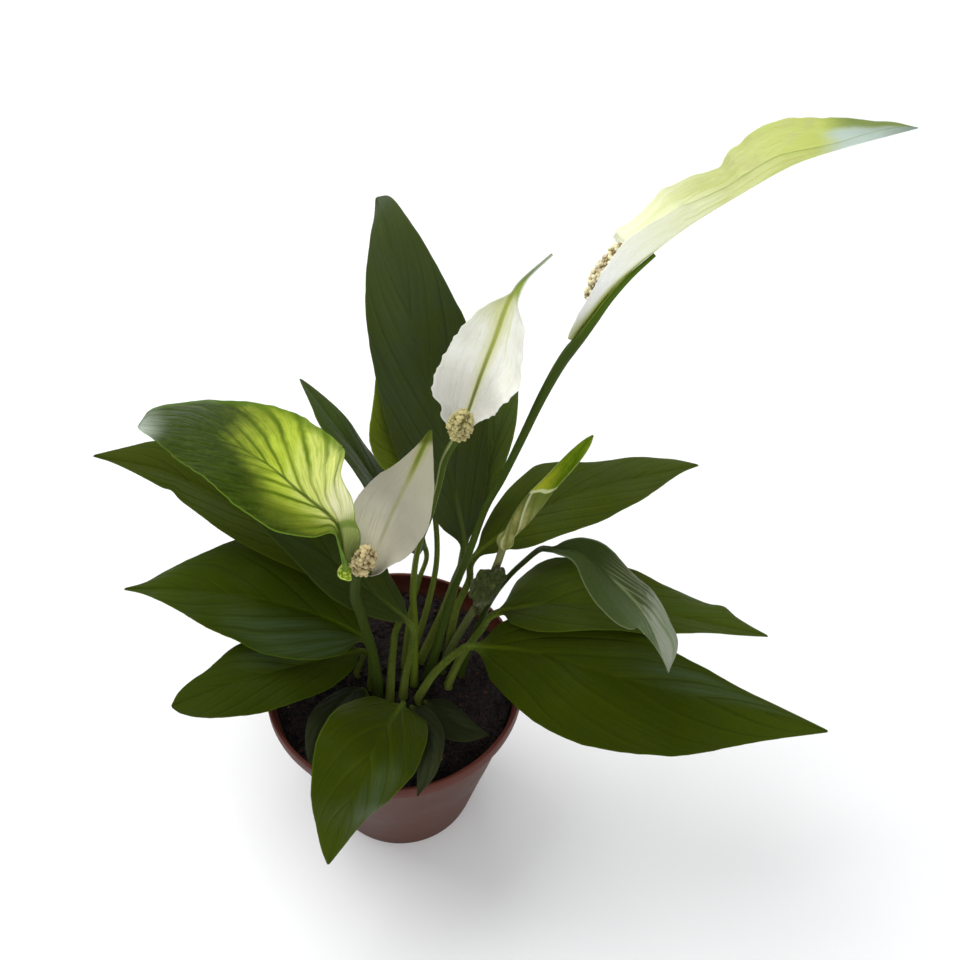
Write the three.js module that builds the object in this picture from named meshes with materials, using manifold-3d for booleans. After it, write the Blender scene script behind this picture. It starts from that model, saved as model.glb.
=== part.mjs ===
// Potted peace lily (Spathiphyllum) in a round nursery pot.
// Millimetres, +Z up. The origin is the centre of the pot's underside, on the surface it stands on.
// Seen from the front (looking along +Y), +X is to the right.

import * as THREE from 'three';
import { mergeVertices } from 'three/addons/utils/BufferGeometryUtils.js';
import Module from 'manifold-3d';

const wasm = await Module();
wasm.setup();

// Driving dimensions of the pot and the soil

const POT_HEIGHT = 98;
const RIM_RADIUS = 60;
const BASE_RADIUS = 36;
const LIP_HEIGHT = 8;
const LIP_OVERHANG = 2.2;
const POT_WALL = 1.6;
const POT_FLOOR = 4;
const FOOT_RADIUS = 11;
const FOOT_RING_WIDTH = 4;
const FOOT_LIFT = 2;
const DRAIN_HOLES = 6;
const DRAIN_RADIUS = 4;
const DRAIN_CIRCLE = 21.5;
const POT_SIDES = 36;
const DRAIN_SIDES = 10;
const POT_EDGE = 1;
const LIP_EDGE = 0.6;

const SOIL_LEVEL = 88;
const SOIL_BUMP = 0.9;
const SOIL_SPIRALS = [{ pitch: 0.55, arms: 3 }, { pitch: 0.21, arms: 5 }];
const SOIL_EDGE = 0.5;
const SOIL_SIDES = 30;
const SOIL_RINGS = 6;
const ROOT_DEPTH = 12;
const STRAIGHT_ABOVE_SOIL = 2.5;
const STRAIGHT_UNDER_SPADIX = 4;

// Clearance between pieces that touch on the real plant

const GAP = 0.3;

// Driving dimensions of leaves and blooms

const BLADE_THICKNESS = 0.8;
const TIP_WIDTH = 0.5;
const PETIOLE_RADIUS = 1.9;
const PETIOLE_FLARE = 1.4;
const PETIOLE_RINGS = 8;
const PETIOLE_STEP = 12;
const BLADE_RINGS = 13;
const BLADE_COLUMNS = 4;
const BLADE_OPENS = [-0.02, 0.08];
const SPATHE_THICKNESS = 0.7;
const SPATHE_RINGS = 20;
const SPATHE_COLUMNS = 6;
const KEEL_CLEARANCE = 0.75;
const KEEL_STATIONS = [0.1, 0.3, 0.5, 0.75, 1];

// The spadix narrows to its foot and, from its widest place on, to a round tip. Its florets stand out by a
// share of its radius.

const SPADIX_SIDES = 12;
const SPADIX_RINGS = 9;
const SPADIX_FOOT = 0.45;
const SPADIX_WIDEST = 0.45;
const SPADIX_SHOULDER = 0.93;
const SPADIX_ROUNDNESS = 1.07;
const FLORET_BUMP = 0.12;

const STEM_RINGS = 18;
const LONG_STEM_RINGS = 26;
const KNOB_STATIONS = [0, 0.03, 0.07, 0.11, 0.16];
const BUD_RINGS = 12;
const BUD_ROLL_STARTS = 0.24;
const KNOB_LEAST = 0.55;
const WAIST_AT_FOOT = 0.8;
const HOLE_SIDES = 12;
const CURVE_STEPS = 40;

const COLOURS = {
  pot: { color: 0x7a4a40, roughness: 0.55, metalness: 0 },
  soil: { color: 0x1e1514, roughness: 1, metalness: 0 },
  leaf: { color: 0x2c3f12, roughness: 0.38, metalness: 0 },
  youngLeaf: { color: 0x4a5a3c, roughness: 0.35, metalness: 0 },
  stalk: { color: 0x55682c, roughness: 0.5, metalness: 0 },
  spathe: { color: 0xe6e4dc, roughness: 0.6, metalness: 0 },
  greenSpathe: { color: 0x9db63c, roughness: 0.45, metalness: 0 },
  limeSpathe: { color: 0xdbe6a0, roughness: 0.5, metalness: 0 },
  bud: { color: 0xb4bd86, roughness: 0.55, metalness: 0 },
  spadix: { color: 0xcdbf9e, roughness: 0.8, metalness: 0 },
};

// Each leaf is a petiole that stands in the soil and a blade that grows on from it.
//   root      where the petiole leaves the soil, x and y
//   stem      points the petiole passes above the soil
//   rib       points of the midrib, from the blade's base to its tip
//   left      greatest half width on the left of the rib, looking from base to tip
//   right     the same on the right
//   edges     instead of left and right where the outline is uneven: half widths at stations along the rib,
//             0 to 1, first those on the left and then those on the right
//   belly     where along the rib the blade is widest, 0 to 1
//   taper     how fast it narrows from there: 1 is oval, 2.5 is a long drawn-out tip
//   roll      turn of the blade about its rib in degrees, spread evenly from its base to its tip
//   fold      how far the halves rise from the rib, per unit of width
//   arch      how far the margins drop again
//   lobe      how far the margins reach back past the base
//   blunt     how far the margins reach on towards the tip
//   wave      height of the margin's waves in millimetres, waves along it, and their phase
//   petiole   radius, where it isn't the usual one

const LEAVES = {
  leaf_tall_back: {
    root: [12, 14],
    stem: [[21, 22, 112], [28, 24, 138]],
    rib: [[33, 25, 163], [28, 35, 197], [19, 44, 247], [9, 61, 286], [2, 79, 302], [-2, 97, 301]],
    edges: [[[0, 2], [0.1, 10], [0.2, 16], [0.32, 20], [0.45, 21], [0.58, 20], [0.7, 17.5], [0.8, 13],
        [0.86, 9], [0.93, 4], [1, 0.5]],
      [[0, 2], [0.1, 10], [0.2, 16], [0.35, 20.5], [0.5, 22.5], [0.62, 21.5], [0.71, 18.5], [0.81, 14.5],
        [0.9, 9.5], [0.97, 5], [1, 0.5]]],
    belly: 0.45, taper: 1.5, roll: [1, 42], fold: 0.19, arch: 0.2, lobe: 0.15,
    wave: [0.8, 2.5, 0.1],
  },
  leaf_right_back: {
    root: [19, 20],
    stem: [[26, 25, 116], [30, 29, 137]],
    rib: [[33, 33, 156], [39, 39, 180], [47, 50, 208], [55, 66, 236]],
    left: 14, right: 8, belly: 0.55, taper: 1.6, roll: [6, -4], fold: 0.26, arch: 0.2, lobe: 0.15,
    wave: [0.8, 2, 0.3], petiole: 1.4,
  },
  leaf_narrow_back: {
    root: [4, 11],
    stem: [[7, 25, 110], [12, 32, 130]],
    rib: [[15, 37, 147], [0, 36, 182], [-14, 41, 211], [-28, 53, 226], [-36, 59, 235]],
    left: 16, right: 12, belly: 0.45, taper: 1.1, roll: [-8, -30], fold: 0.27, arch: 0.2, lobe: 0.15,
    wave: [1.2, 2, 0.6], petiole: 1.4,
  },
  leaf_short_back: {
    root: [9, 21],
    stem: [[15, 28, 112], [20, 34, 140], [20, 39, 166]],
    rib: [[17, 42, 189], [10, 50, 213], [5, 56, 238], [3, 67, 250]],
    left: 21, right: 19, belly: 0.45, taper: 1.9, roll: [-3, -20], fold: 0.3, arch: 0.2, lobe: 0.3,
    wave: [1, 2, 0.2], petiole: 1.4,
  },
  leaf_long_left: {
    root: [-2, -7],
    stem: [[-1, 1, 103], [1, 5, 122]],
    rib: [[2, 8, 142], [-27, 22, 157], [-63, 41, 166], [-103, 66, 166], [-144, 88, 153]],
    edges: [[[0, 2], [0.1, 7], [0.25, 12], [0.46, 14], [0.56, 12.3], [0.64, 10], [0.68, 7.6], [0.71, 8],
        [0.76, 7], [0.84, 4.5], [0.93, 1.5], [1, 0.5]],
      [[0, 2], [0.12, 15], [0.25, 24], [0.4, 27], [0.55, 24.5], [0.7, 18.5], [0.83, 12], [0.9, 7.3],
        [1, 0.5]]],
    belly: 0.4, taper: 2.2, roll: [7, 16], fold: 0.33, arch: 0.2, lobe: 0.15,
    wave: [1.2, 3, 0.1],
  },
  leaf_upper_left: {
    root: [4, -6],
    stem: [[6, -3, 106], [9, -3, 126]],
    rib: [[9, -4, 146], [-12, 3, 166], [-35, 15, 184], [-57, 28, 193], [-73, 43, 190]],
    left: 15, right: 17, belly: 0.42, taper: 2.4, roll: [2, -10], fold: 0.27, arch: 0.2, lobe: 0.15,
    wave: [1, 2.5, 0.4],
  },
  leaf_mid_left: {
    root: [-11, 0],
    stem: [[-10, 0, 107]],
    rib: [[-12, 1, 126], [-32, 7, 136], [-64, 14, 141], [-99, 29, 126], [-131, 44, 106]],
    edges: [[[0, 3], [0.07, 12], [0.15, 19.5], [0.22, 23], [0.3, 24.5], [0.36, 24], [0.41, 21.8],
        [0.48, 20], [0.56, 16.5], [0.65, 12], [0.77, 7], [0.9, 2.5], [1, 0.5]],
      [[0, 4], [0.1, 20], [0.2, 29], [0.3, 32], [0.42, 31], [0.56, 26], [0.65, 19], [0.75, 13], [0.82, 9],
        [0.9, 3.5], [1, 0.5]]],
    belly: 0.3, taper: 2, roll: [15, 12], fold: 0.34, arch: 0.25, lobe: 0.3,
    wave: [1.4, 3, 0.2],
  },
  leaf_low_left: {
    root: [-18, 7],
    stem: [[-15, 7, 101]],
    rib: [[-15, 5, 111], [-37, -8, 121], [-68, -16, 118], [-101, -18, 100]],
    edges: [[[0, 2], [0.12, 9], [0.28, 15], [0.5, 17.3], [0.69, 14.5], [0.86, 9.5], [0.96, 4.5], [1, 0.5]],
      [[0, 2], [0.12, 9], [0.28, 15], [0.45, 18], [0.6, 16], [0.69, 13], [0.77, 10], [0.87, 7.5],
        [0.95, 4.5], [1, 0.5]]],
    belly: 0.48, taper: 1.8, roll: [11, 22], fold: 0.23, arch: 0.2, lobe: 0.2,
    wave: [1, 3, 0.5], petiole: 1.5,
  },
  leaf_front: {
    root: [4, -14],
    stem: [[5, -18, 102]],
    rib: [[5, -27, 115], [-1, -45, 126], [-7, -62, 130], [-14, -74, 119], [-21, -79, 100], [-26, -88, 84]],
    edges: [[[0, 5], [0.02, 9], [0.08, 13], [0.16, 16.5], [0.24, 19], [0.33, 20.5], [0.45, 20.5],
        [0.57, 16.5], [0.74, 12.5], [0.87, 7], [1, 0.5]],
      [[0, 7], [0.1, 14.5], [0.22, 19.5], [0.34, 22.5], [0.46, 23], [0.55, 20.5], [0.66, 16.5], [0.74, 13],
        [0.83, 9], [0.93, 4.5], [1, 0.5]]],
    belly: 0.34, taper: 1.5, roll: [3, 48], fold: 0.12, arch: 0.25, lobe: 0.6,
    wave: [1, 2.5, 0.3], petiole: 1.5,
  },
  leaf_large_right: {
    root: [11, -8],
    stem: [[19, -4, 106], [30, -3, 122]],
    rib: [[38, -6, 131], [66, -19.5, 146], [91, -32, 150.5], [123, -37, 142.5], [158, -34, 124.5],
      [197, -31, 100]],
    edges: [[[0, 2], [0.1, 13], [0.2, 19], [0.32, 22.5], [0.42, 22], [0.51, 18.5], [0.6, 14], [0.71, 8],
        [0.84, 4.5], [1, 0.5]],
      [[0, 5], [0.08, 14.5], [0.16, 22.5], [0.25, 28.5], [0.38, 31.5], [0.53, 28], [0.62, 23.5], [0.73, 17],
        [0.85, 9.5], [1, 0.5]]],
    belly: 0.34, taper: 2.1, roll: [-24, -16], fold: 0.19, arch: 0.25, lobe: 0.3,
    wave: [1.2, 3, 0.7],
  },
  leaf_mid_right: {
    root: [25, 0],
    stem: [[31, 3, 108], [40, 5, 127]],
    rib: [[49, 5, 142], [82, -2, 159], [119, -1, 150], [171, 5, 123]],
    edges: [[[0, 6], [0.06, 13], [0.13, 19], [0.2, 22.5], [0.32, 23], [0.48, 21], [0.59, 15.5], [0.67, 14],
        [0.78, 10.8], [0.84, 10.8], [0.88, 6.5], [1, 0.5]],
      [[0, 2], [0.1, 10], [0.2, 15], [0.33, 17], [0.51, 14], [0.61, 11], [0.67, 9.5], [0.81, 5], [0.94, 2],
        [1, 0.5]]],
    belly: 0.33, taper: 1.6, roll: [2, 7], fold: 0.29, arch: 0.2, lobe: 0.3,
    wave: [1.2, 3, 0.1],
  },
  leaf_young_drooping: {
    root: [31, 7],
    stem: [[36, 9, 112], [44, 14, 136], [52, 12, 158], [60, 7, 178], [65, 0, 194]],
    rib: [[69, -7, 203], [81, -10, 205], [94, -16, 195], [108, -25, 181], [117, -46, 171]],
    edges: [[[0, 2], [0.1, 4.5], [0.24, 8], [0.39, 9], [0.51, 10], [0.63, 12.5], [0.75, 12], [0.84, 13],
        [0.92, 9], [1, 0.5]],
      [[0, 3], [0.17, 8], [0.24, 13], [0.35, 19.5], [0.46, 24], [0.55, 24], [0.66, 21], [0.76, 16],
        [0.84, 9], [0.92, 4], [1, 0.5]]],
    belly: 0.55, taper: 1.5, roll: [-5, 45], fold: 0.45, arch: 0.2, lobe: 0.1,
    wave: [0.8, 2, 0.2], petiole: 1.5, young: true,
  },
  leaf_upper_right: {
    root: [24, 15],
    stem: [[29, 19, 124], [35, 22, 142]],
    rib: [[38, 24, 158], [62, 33, 176], [93, 44, 182], [142, 76, 160]],
    edges: [[[0, 2], [0.12, 10], [0.25, 19], [0.34, 22.5], [0.41, 20], [0.51, 16], [0.6, 14.5], [0.73, 12],
        [0.85, 8.5], [0.92, 6], [1, 0.5]],
      [[0, 2], [0.13, 8.5], [0.17, 12], [0.25, 16.5], [0.44, 17.5], [0.54, 15.5], [0.61, 14], [0.7, 10],
        [0.82, 5], [0.92, 1.8], [1, 0.5]]],
    belly: 0.37, taper: 2.3, roll: [2, -2], fold: 0.22, arch: 0.2, lobe: 0.2,
    wave: [1.2, 3, 0.4],
  },
  leaf_small_left: {
    root: [-11, -13],
    stem: [],
    rib: [[-14, -8, 99], [-21, -18, 107], [-30, -34, 110], [-35, -50, 104]],
    left: 10, right: 8, belly: 0.5, taper: 1.6, roll: [-9, -2], fold: 0.22, arch: 0.2, lobe: 0.2,
    wave: [0.5, 2, 0.1], petiole: 1.1,
  },
  leaf_small_front: {
    root: [11, -15],
    stem: [],
    rib: [[9, -21, 104], [17, -40, 111], [18, -57, 115], [13, -68, 108]],
    left: 7.5, right: 10, belly: 0.32, taper: 1.4, roll: [-6, -4], fold: 0.27, arch: 0.2, lobe: 0.2,
    wave: [0.5, 2, 0.6], petiole: 1.1,
  },
  leaf_small_right: {
    root: [17, -12],
    stem: [],
    rib: [[15, -15, 99], [24, -25, 104], [33, -31, 103], [44, -33, 100]],
    left: 7, right: 10, belly: 0.42, taper: 1.9, roll: [1, -2], fold: 0.22, arch: 0.2, lobe: 0.2,
    wave: [0.4, 2, 0.3], petiole: 1,
  },
};

// Each bloom has a stalk, one or two spathes and a spadix.
//   radius    of the stalk, spread evenly from the soil to its top
//   keel      how far the stalk's top runs on under the spathe's rib, and its radius there
//   curl      how far the spathe's halves turn up about its rib in degrees, at its base and further on
//   uncurl    where along the rib the second curl is reached, 1 where it isn't given
//   neck      half width of the spathe where it leaves the stalk
// The other words are as on a leaf.

const BLOOMS = {
  front: {
    root: [-8, -7],
    stalk: [[-7, -8, 104], [-8, -10, 134], [-10, -15, 165], [-11.5, -19, 186]],
    radius: [3, 2.7, 2.4, 2.3],
    knuckle: { at: [-13.2, -20, 205.5], radius: 3.3 },
    spadix: { from: [-8.6, -23.4, 209], to: [-2.8, -28.4, 230], radius: 5 },
    spathes: {
      spathe_front: {
        rib: [[-4.5, -19.5, 207], [1, -12.5, 219], [6, -10, 232], [13, -5, 247], [21, 8, 259]],
        edges: [[[0, 6], [0.1, 12], [0.2, 15], [0.34, 16], [0.42, 15.5], [0.5, 14], [0.61, 11.5],
            [0.69, 8.5], [0.78, 5.5], [0.89, 2.5], [1, 0.5]],
          [[0, 9], [0.04, 15.5], [0.09, 19.5], [0.15, 19], [0.26, 18], [0.39, 18], [0.52, 18.5], [0.59, 17],
            [0.65, 14.5], [0.71, 12], [0.77, 9], [0.9, 4], [1, 0.5]]],
        belly: 0.4, taper: 2.1, roll: [14, -22], curl: [80, 20], uncurl: 0.4,
        wave: [0.6, 2, 0.2], colour: 'spathe',
      },
      spathe_front_leafy: {
        rib: [[-14.3, -19.4, 208.9], [-14.5, -17.5, 226], [-17, -17, 236], [-29, -12, 246], [-45, 1, 250],
          [-71, 18, 248], [-98, 26, 242]],
        edges: [[[0, 5], [0.1, 9], [0.17, 9], [0.21, 8], [0.26, 16], [0.32, 21], [0.38, 23], [0.48, 25.5],
            [0.61, 24], [0.79, 19], [0.87, 14], [1, 0.5]],
          [[0, 5], [0.06, 6.5], [0.12, 8], [0.17, 7.5], [0.22, 11.5], [0.28, 16], [0.31, 25], [0.36, 27.5],
            [0.47, 29], [0.58, 31.5], [0.65, 29], [0.72, 26], [0.78, 25], [0.86, 29], [0.92, 27.5],
            [0.96, 24], [0.99, 16], [1, 1]]],
        belly: 0.6, taper: 1.7, roll: [7, -25], curl: [120, 3], uncurl: 0.35, blunt: 0.45,
        wave: [1.4, 3, 0.1], colour: 'greenSpathe',
      },
    },
  },
  centre: {
    root: [9, 1],
    stalk: [[10, 11, 122], [10, 14, 146], [13, 15, 174], [19, 13, 200], [23, 11, 222], [26, 6, 244]],
    radius: [2.2, 1.7, 1.3, 1.3, 1.8],
    spadix: { from: [31, 0.2, 264], to: [34.5, -8, 285], radius: 5 },
    spathes: {
      spathe_centre: {
        rib: [[32.8, 4.5, 261.8], [37.5, 10, 276], [41, 12, 288], [46, 16, 302], [50, 20, 314], [55, 23, 322],
          [66, 28, 331]],
        edges: [[[0, 5], [0.03, 9.5], [0.09, 11.5], [0.12, 15.6], [0.28, 16.6], [0.41, 15.6], [0.55, 12],
            [0.64, 8.5], [0.74, 1.5], [0.8, 1], [1, 0.5]],
          [[0, 4], [0.09, 8.6], [0.2, 15.6], [0.32, 19.9], [0.44, 24.5], [0.53, 18.9], [0.6, 15.7],
            [0.67, 13], [0.7, 9.5], [0.73, 5.3], [0.8, 2.5], [0.86, 1.1], [1, 0.5]]],
        belly: 0.3, taper: 2.4, roll: [-7, -23], curl: [60, 36],
        wave: [1, 3, 0.1], colour: 'spathe',
      },
    },
  },
  tall: {
    root: [15, 3],
    stalk: [[19, 5, 108], [27, 10, 146], [35, 8, 180], [42, 10, 208], [49, 10, 228], [56, 8, 253],
      [63.2, 3, 283], [69.6, -3, 308]],
    radius: [2.6, 2, 1.6, 1.5, 1.7, 2.1],
    keel: { reach: 0.27, radius: 1 },
    spadix: { from: [76.8, -0.8, 335.8], to: [88.8, 8.7, 352.8], radius: 4.1 },
    spathes: {
      spathe_tall: {
        rib: [[72, -5.8, 321.5], [78.5, -5.4, 333.5], [85, -3, 343], [92, 0, 349.5], [99, 4, 353.5], [111, 13, 357],
          [127, 21, 363], [146, 29, 370], [163, 32, 375], [189, 39, 378]],
        edges: [[[0, 3], [0.05, 11.5], [0.1, 19], [0.14, 26], [0.19, 31], [0.25, 34], [0.34, 27.5],
            [0.39, 26], [0.44, 28.5], [0.48, 26.5], [0.53, 23.5], [0.57, 22.5], [0.61, 28], [0.69, 33],
            [0.74, 29], [0.8, 23.5], [0.87, 20], [0.91, 15.5], [0.97, 8.5], [1, 0.5]],
          [[0, 1.5], [0.05, 3.5], [0.12, 7], [0.16, 8.8], [0.2, 11.5], [0.25, 15], [0.35, 17], [0.45, 17],
            [0.55, 15], [0.65, 12], [0.72, 9.8], [0.8, 9.4], [0.86, 9], [0.93, 5.5], [1, 0.5]]],
        belly: 0.44, taper: 0.9, roll: [72, 46, 40, 37],
        curl: [60, 49], wave: [1.2, 3, 0.3], colour: 'limeSpathe',
      },
    },
  },
};

// The closed bud is a spathe still rolled up: a knob at its foot, a round roll and a hood that begins to open.

const BUD = {
  root: [22, 9],
  stalk: [[27, 11, 106], [34, 14, 122], [42, 10, 150], [47, 4, 177], [49.6, -0.6, 196.2]],
  radius: [2, 1.6],
  knob: 3.5,
  roll: {
    rib: [[49.7, -0.7, 196.9], [51, -1, 203], [56, -1, 214], [62, 1, 224], [72, 7, 235], [80, 12, 243],
      [85, 17, 246]],
    left: 5.2, right: 5, belly: 0.6, taper: 1.8, roll: [-50, -40], curl: [170, 60], neck: 0,
    wave: [0.3, 2, 0.2],
  },
  waist: 3.8,
  knobAt: 0.07,
  knobReach: 0.08,
  opens: [0.45, 0.7],
};

// A thin dry sheath still clasps the bud's stalk.

const SHEATH = {
  rib: [[37.5, 7.9, 134], [41.2, 6, 151], [45, 2.4, 168], [47.8, -1.9, 185.5]],
  left: 8.5, right: 8, belly: 0.5, taper: 0.8, roll: [45, 45], curl: [70, 60], neck: 3, wave: [1.6, 2.5, 0.2],
};

// Shapes

const v3 = (p) => new THREE.Vector3(...p);
const mix = THREE.MathUtils.lerp;
const smooth = THREE.MathUtils.smoothstep;

// A value from a row spread evenly over 0 to 1.
function spread(values, t) {
  const place = t * (values.length - 1);
  const i = Math.min(Math.floor(place), values.length - 2);
  return mix(values[i], values[i + 1], place - i);
}

function geometry(positions, triangles) {
  const shape = new THREE.BufferGeometry();
  const numbers = positions.flatMap((p) => [p.x, p.y, p.z]);
  shape.setAttribute('position', new THREE.Float32BufferAttribute(numbers, 3));
  shape.setIndex(triangles.flat());
  return shape;
}

function toManifold(shape) {
  const bare = shape.clone();
  bare.deleteAttribute('normal');
  bare.deleteAttribute('uv');
  const merged = mergeVertices(bare, 1e-4);
  return new wasm.Manifold(new wasm.Mesh({
    numProp: 3,
    vertProperties: new Float32Array(merged.attributes.position.array),
    triVerts: new Uint32Array(merged.index.array),
  }));
}

function fromManifold(solid) {
  const mesh = solid.getMesh();
  const shape = new THREE.BufferGeometry();
  shape.setAttribute('position', new THREE.BufferAttribute(new Float32Array(mesh.vertProperties), 3));
  shape.setIndex(new THREE.BufferAttribute(new Uint32Array(mesh.triVerts), 1));
  return shape;
}

// A closed skin over a row of rings with the same number of points. A ring runs over the upper side from left
// to right, then back under the lower side, so that the two sides' points lie under each other. Both sides are
// split along the same diagonals.
function skin(rings) {
  const count = rings[0].length;
  const half = count / 2;
  const at = (ring, point) => ring * count + (point % count);
  const triangles = [];
  for (let i = 0; i < rings.length - 1; i += 1) {
    for (let j = 0; j < count; j += 1) {
      const [a, b, c, d] = [at(i, j), at(i, j + 1), at(i + 1, j + 1), at(i + 1, j)];
      const column = j < half ? j : count - 2 - j;
      const leaning = column < (half - 1) / 2;
      if (leaning === j < half) triangles.push([a, b, c], [a, c, d]);
      else triangles.push([a, b, d], [b, c, d]);
    }
  }
  const last = rings.length - 1;
  for (let j = 0; j < half - 1; j += 1) {
    const under = count - 1 - j;
    triangles.push([at(0, j), at(0, under), at(0, j + 1)], [at(0, j + 1), at(0, under), at(0, under - 1)]);
    triangles.push([at(last, j), at(last, j + 1), at(last, under)]);
    triangles.push([at(last, j + 1), at(last, under - 1), at(last, under)]);
  }
  return geometry(rings.flat(), triangles);
}

// The frame of a leaf or spathe at each station: a point, the way along it, the way to its right and the way up.
function frames(curve, stations, heading, rollAt) {
  const side = new THREE.Vector3().crossVectors(heading, new THREE.Vector3(0, 0, 1)).normalize();
  return stations.map((u) => {
    const along = curve.getTangentAt(u);
    const right = side.clone().addScaledVector(along, -side.dot(along)).normalize();
    const up = new THREE.Vector3().crossVectors(right, along);
    const roll = THREE.MathUtils.degToRad(rollAt(u));
    return {
      point: curve.getPointAt(u),
      along,
      right: right.clone().multiplyScalar(Math.cos(roll)).addScaledVector(up, Math.sin(roll)),
      up: up.clone().multiplyScalar(Math.cos(roll)).addScaledVector(right, -Math.sin(roll)),
    };
  });
}

// A round section with the ring's points spread evenly over it.
function roundRing(frame, radius, columns) {
  const count = 2 * (columns + 1);
  return Array.from({ length: count }, (_, j) => {
    const angle = Math.PI - ((j + 0.5) / count) * 2 * Math.PI;
    return frame.point.clone()
      .addScaledVector(frame.right, radius * Math.cos(angle))
      .addScaledVector(frame.up, radius * Math.sin(angle));
  });
}

// The half width at u of an edge, on a smooth curve through its stations.
function edgeWidth(edge, u) {
  const last = edge.length - 1;
  const next = edge.findIndex(([station]) => station > u);
  const i = (next < 0 ? last : Math.max(next, 1)) - 1;
  const slope = (k) => {
    const [before, after] = [edge[Math.max(k - 1, 0)], edge[Math.min(k + 1, last)]];
    return (after[1] - before[1]) / (after[0] - before[0]);
  };
  const step = edge[i + 1][0] - edge[i][0];
  const t = (u - edge[i][0]) / step;
  return edge[i][1] * (1 + 2 * t) * (1 - t) ** 2 + edge[i + 1][1] * t ** 2 * (3 - 2 * t)
    + step * (slope(i) * t * (1 - t) ** 2 - slope(i + 1) * t ** 2 * (1 - t));
}

// The outline of a blade: 0 at base and tip, 1 at the belly.
function outline(u, belly, taper) {
  const v = Math.min(Math.max(u, 1e-6), 1 - 1e-6);
  return (v / belly) ** (taper * belly) * ((1 - v) / (1 - belly)) ** (taper * (1 - belly));
}

// A thin section across a blade at u along it. Its halves are curled, folded, arched and waved.
function bladeRing(frame, u, form, columns, thickness, keel) {
  const shapeAt = outline(u, form.belly, form.taper);
  const [curlFrom, curlTo] = form.curl ?? [0, 0];
  const curl = THREE.MathUtils.degToRad(mix(curlFrom, curlTo, Math.min(1, u / (form.uncurl ?? 1))));
  const [waveHeight, waves, phase] = form.wave;
  const least = u < 0.5 && form.neck ? form.neck : TIP_WIDTH;
  const even = [form.left * shapeAt, form.right * shapeAt];
  const [left, right] = form.edges ? form.edges.map((edge) => edgeWidth(edge, u)) : even;
  const ring = [];
  for (const face of [1, -1]) {
    for (let k = 0; k <= columns; k += 1) {
      const column = face > 0 ? k : columns - k;
      const s = (2 * column) / columns - 1;
      const width = Math.max(s < 0 ? left : right, least);
      const across = Math.abs(s);
      const turn = Math.max(curl * across, 1e-6);
      const waved = Math.sin(2 * Math.PI * (waves * u + phase + (s < 0 ? 0.5 : 0)));
      const out = Math.sign(s) * width * across * (Math.sin(turn) / turn);
      const rise = width * across * ((1 - Math.cos(turn)) / turn)
        + width * ((form.fold ?? 0) * across - (form.arch ?? 0) * across * across)
        + waveHeight * waved * across * across * shapeAt;
      const back = width * across * ((form.lobe ?? 0) * (1 - u) ** 2 - (form.blunt ?? 0) * u ** 6);
      const inward = (across * Math.sin(turn)) * Math.sign(s);
      const normal = frame.up.clone().multiplyScalar(Math.cos(turn))
        .addScaledVector(frame.right, -inward).normalize();
      const middle = face < 0 && column === columns / 2 ? keel : 0;
      ring.push(frame.point.clone()
        .addScaledVector(frame.right, out)
        .addScaledVector(frame.up, rise - middle)
        .addScaledVector(frame.along, -back)
        .addScaledVector(normal, (face * thickness) / 2));
    }
  }
  return ring;
}

function blendRings(a, b, t) {
  return a.map((p, i) => p.clone().lerp(b[i], t));
}

// The buried foot of a stem, straight up from its root to a little above the soil.
function buried([x, y]) {
  return [SOIL_LEVEL - ROOT_DEPTH + GAP, SOIL_LEVEL, SOIL_LEVEL + STRAIGHT_ABOVE_SOIL].map((z) => [x, y, z]);
}

function throughPoints(points) {
  return new THREE.CatmullRomCurve3(points.map(v3), false, 'catmullrom', 0.5);
}

// Stations for a stem: its foot in the soil is one straight step, the rest is even up to where it ends.
function stemStations(length, end, steps) {
  const foot = (ROOT_DEPTH - GAP + STRAIGHT_ABOVE_SOIL) / length;
  return [0, ...Array.from({ length: steps }, (_, i) => mix(foot, end, i / steps))];
}

const headingOf = (rib) => v3(rib.at(-1)).sub(v3(rib[0])).setZ(0).normalize();
const evenly = (steps) => Array.from({ length: steps + 1 }, (_, i) => i / steps);

// One leaf: round petiole rings up to the blade's base, then blade rings that grow out of the round section.
function leafShape(leaf) {
  const radius = leaf.petiole ?? PETIOLE_RADIUS;
  const below = [...buried(leaf.root), ...leaf.stem];
  const points = [...below, ...leaf.rib];
  const curve = throughPoints(points);
  const lengths = curve.getLengths(CURVE_STEPS * (points.length - 1));
  const length = lengths.at(-1);
  const joint = lengths[CURVE_STEPS * below.length] / length;
  const steps = Math.max(PETIOLE_RINGS, Math.ceil((joint * length) / PETIOLE_STEP));
  const bladeStations = evenly(BLADE_RINGS).map((t) => mix(joint, 1, t));
  const stations = [...stemStations(length, joint, steps), ...bladeStations];
  const bladeAt = (u) => Math.max(0, (u - joint) / (1 - joint));
  const rolled = (u) => spread(leaf.roll, bladeAt(u));
  const rings = frames(curve, stations, headingOf(leaf.rib), rolled).map((frame, i) => {
    const u = bladeAt(stations[i]);
    const size = radius * mix(PETIOLE_FLARE, 1, smooth(stations[i], 0, 0.7 * joint));
    const round = roundRing(frame, size, BLADE_COLUMNS);
    if (u === 0) return round;
    const flat = bladeRing(frame, u, leaf, BLADE_COLUMNS, BLADE_THICKNESS, radius * (1 - u) ** 1.5);
    return blendRings(round, flat, smooth(u, ...BLADE_OPENS));
  });
  return skin(rings);
}

// A round stem that swells and narrows along its curve, closed at both ends.
function stalkShape(points, radii, steps) {
  const curve = throughPoints(points);
  const stations = [...stemStations(curve.getLength(), 1, steps), 1];
  const north = new THREE.Vector3(0, 1, 0);
  return skin(frames(curve, stations, north, () => 0)
    .map((frame, i) => roundRing(frame, spread(radii, stations[i]), BLADE_COLUMNS)));
}

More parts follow.
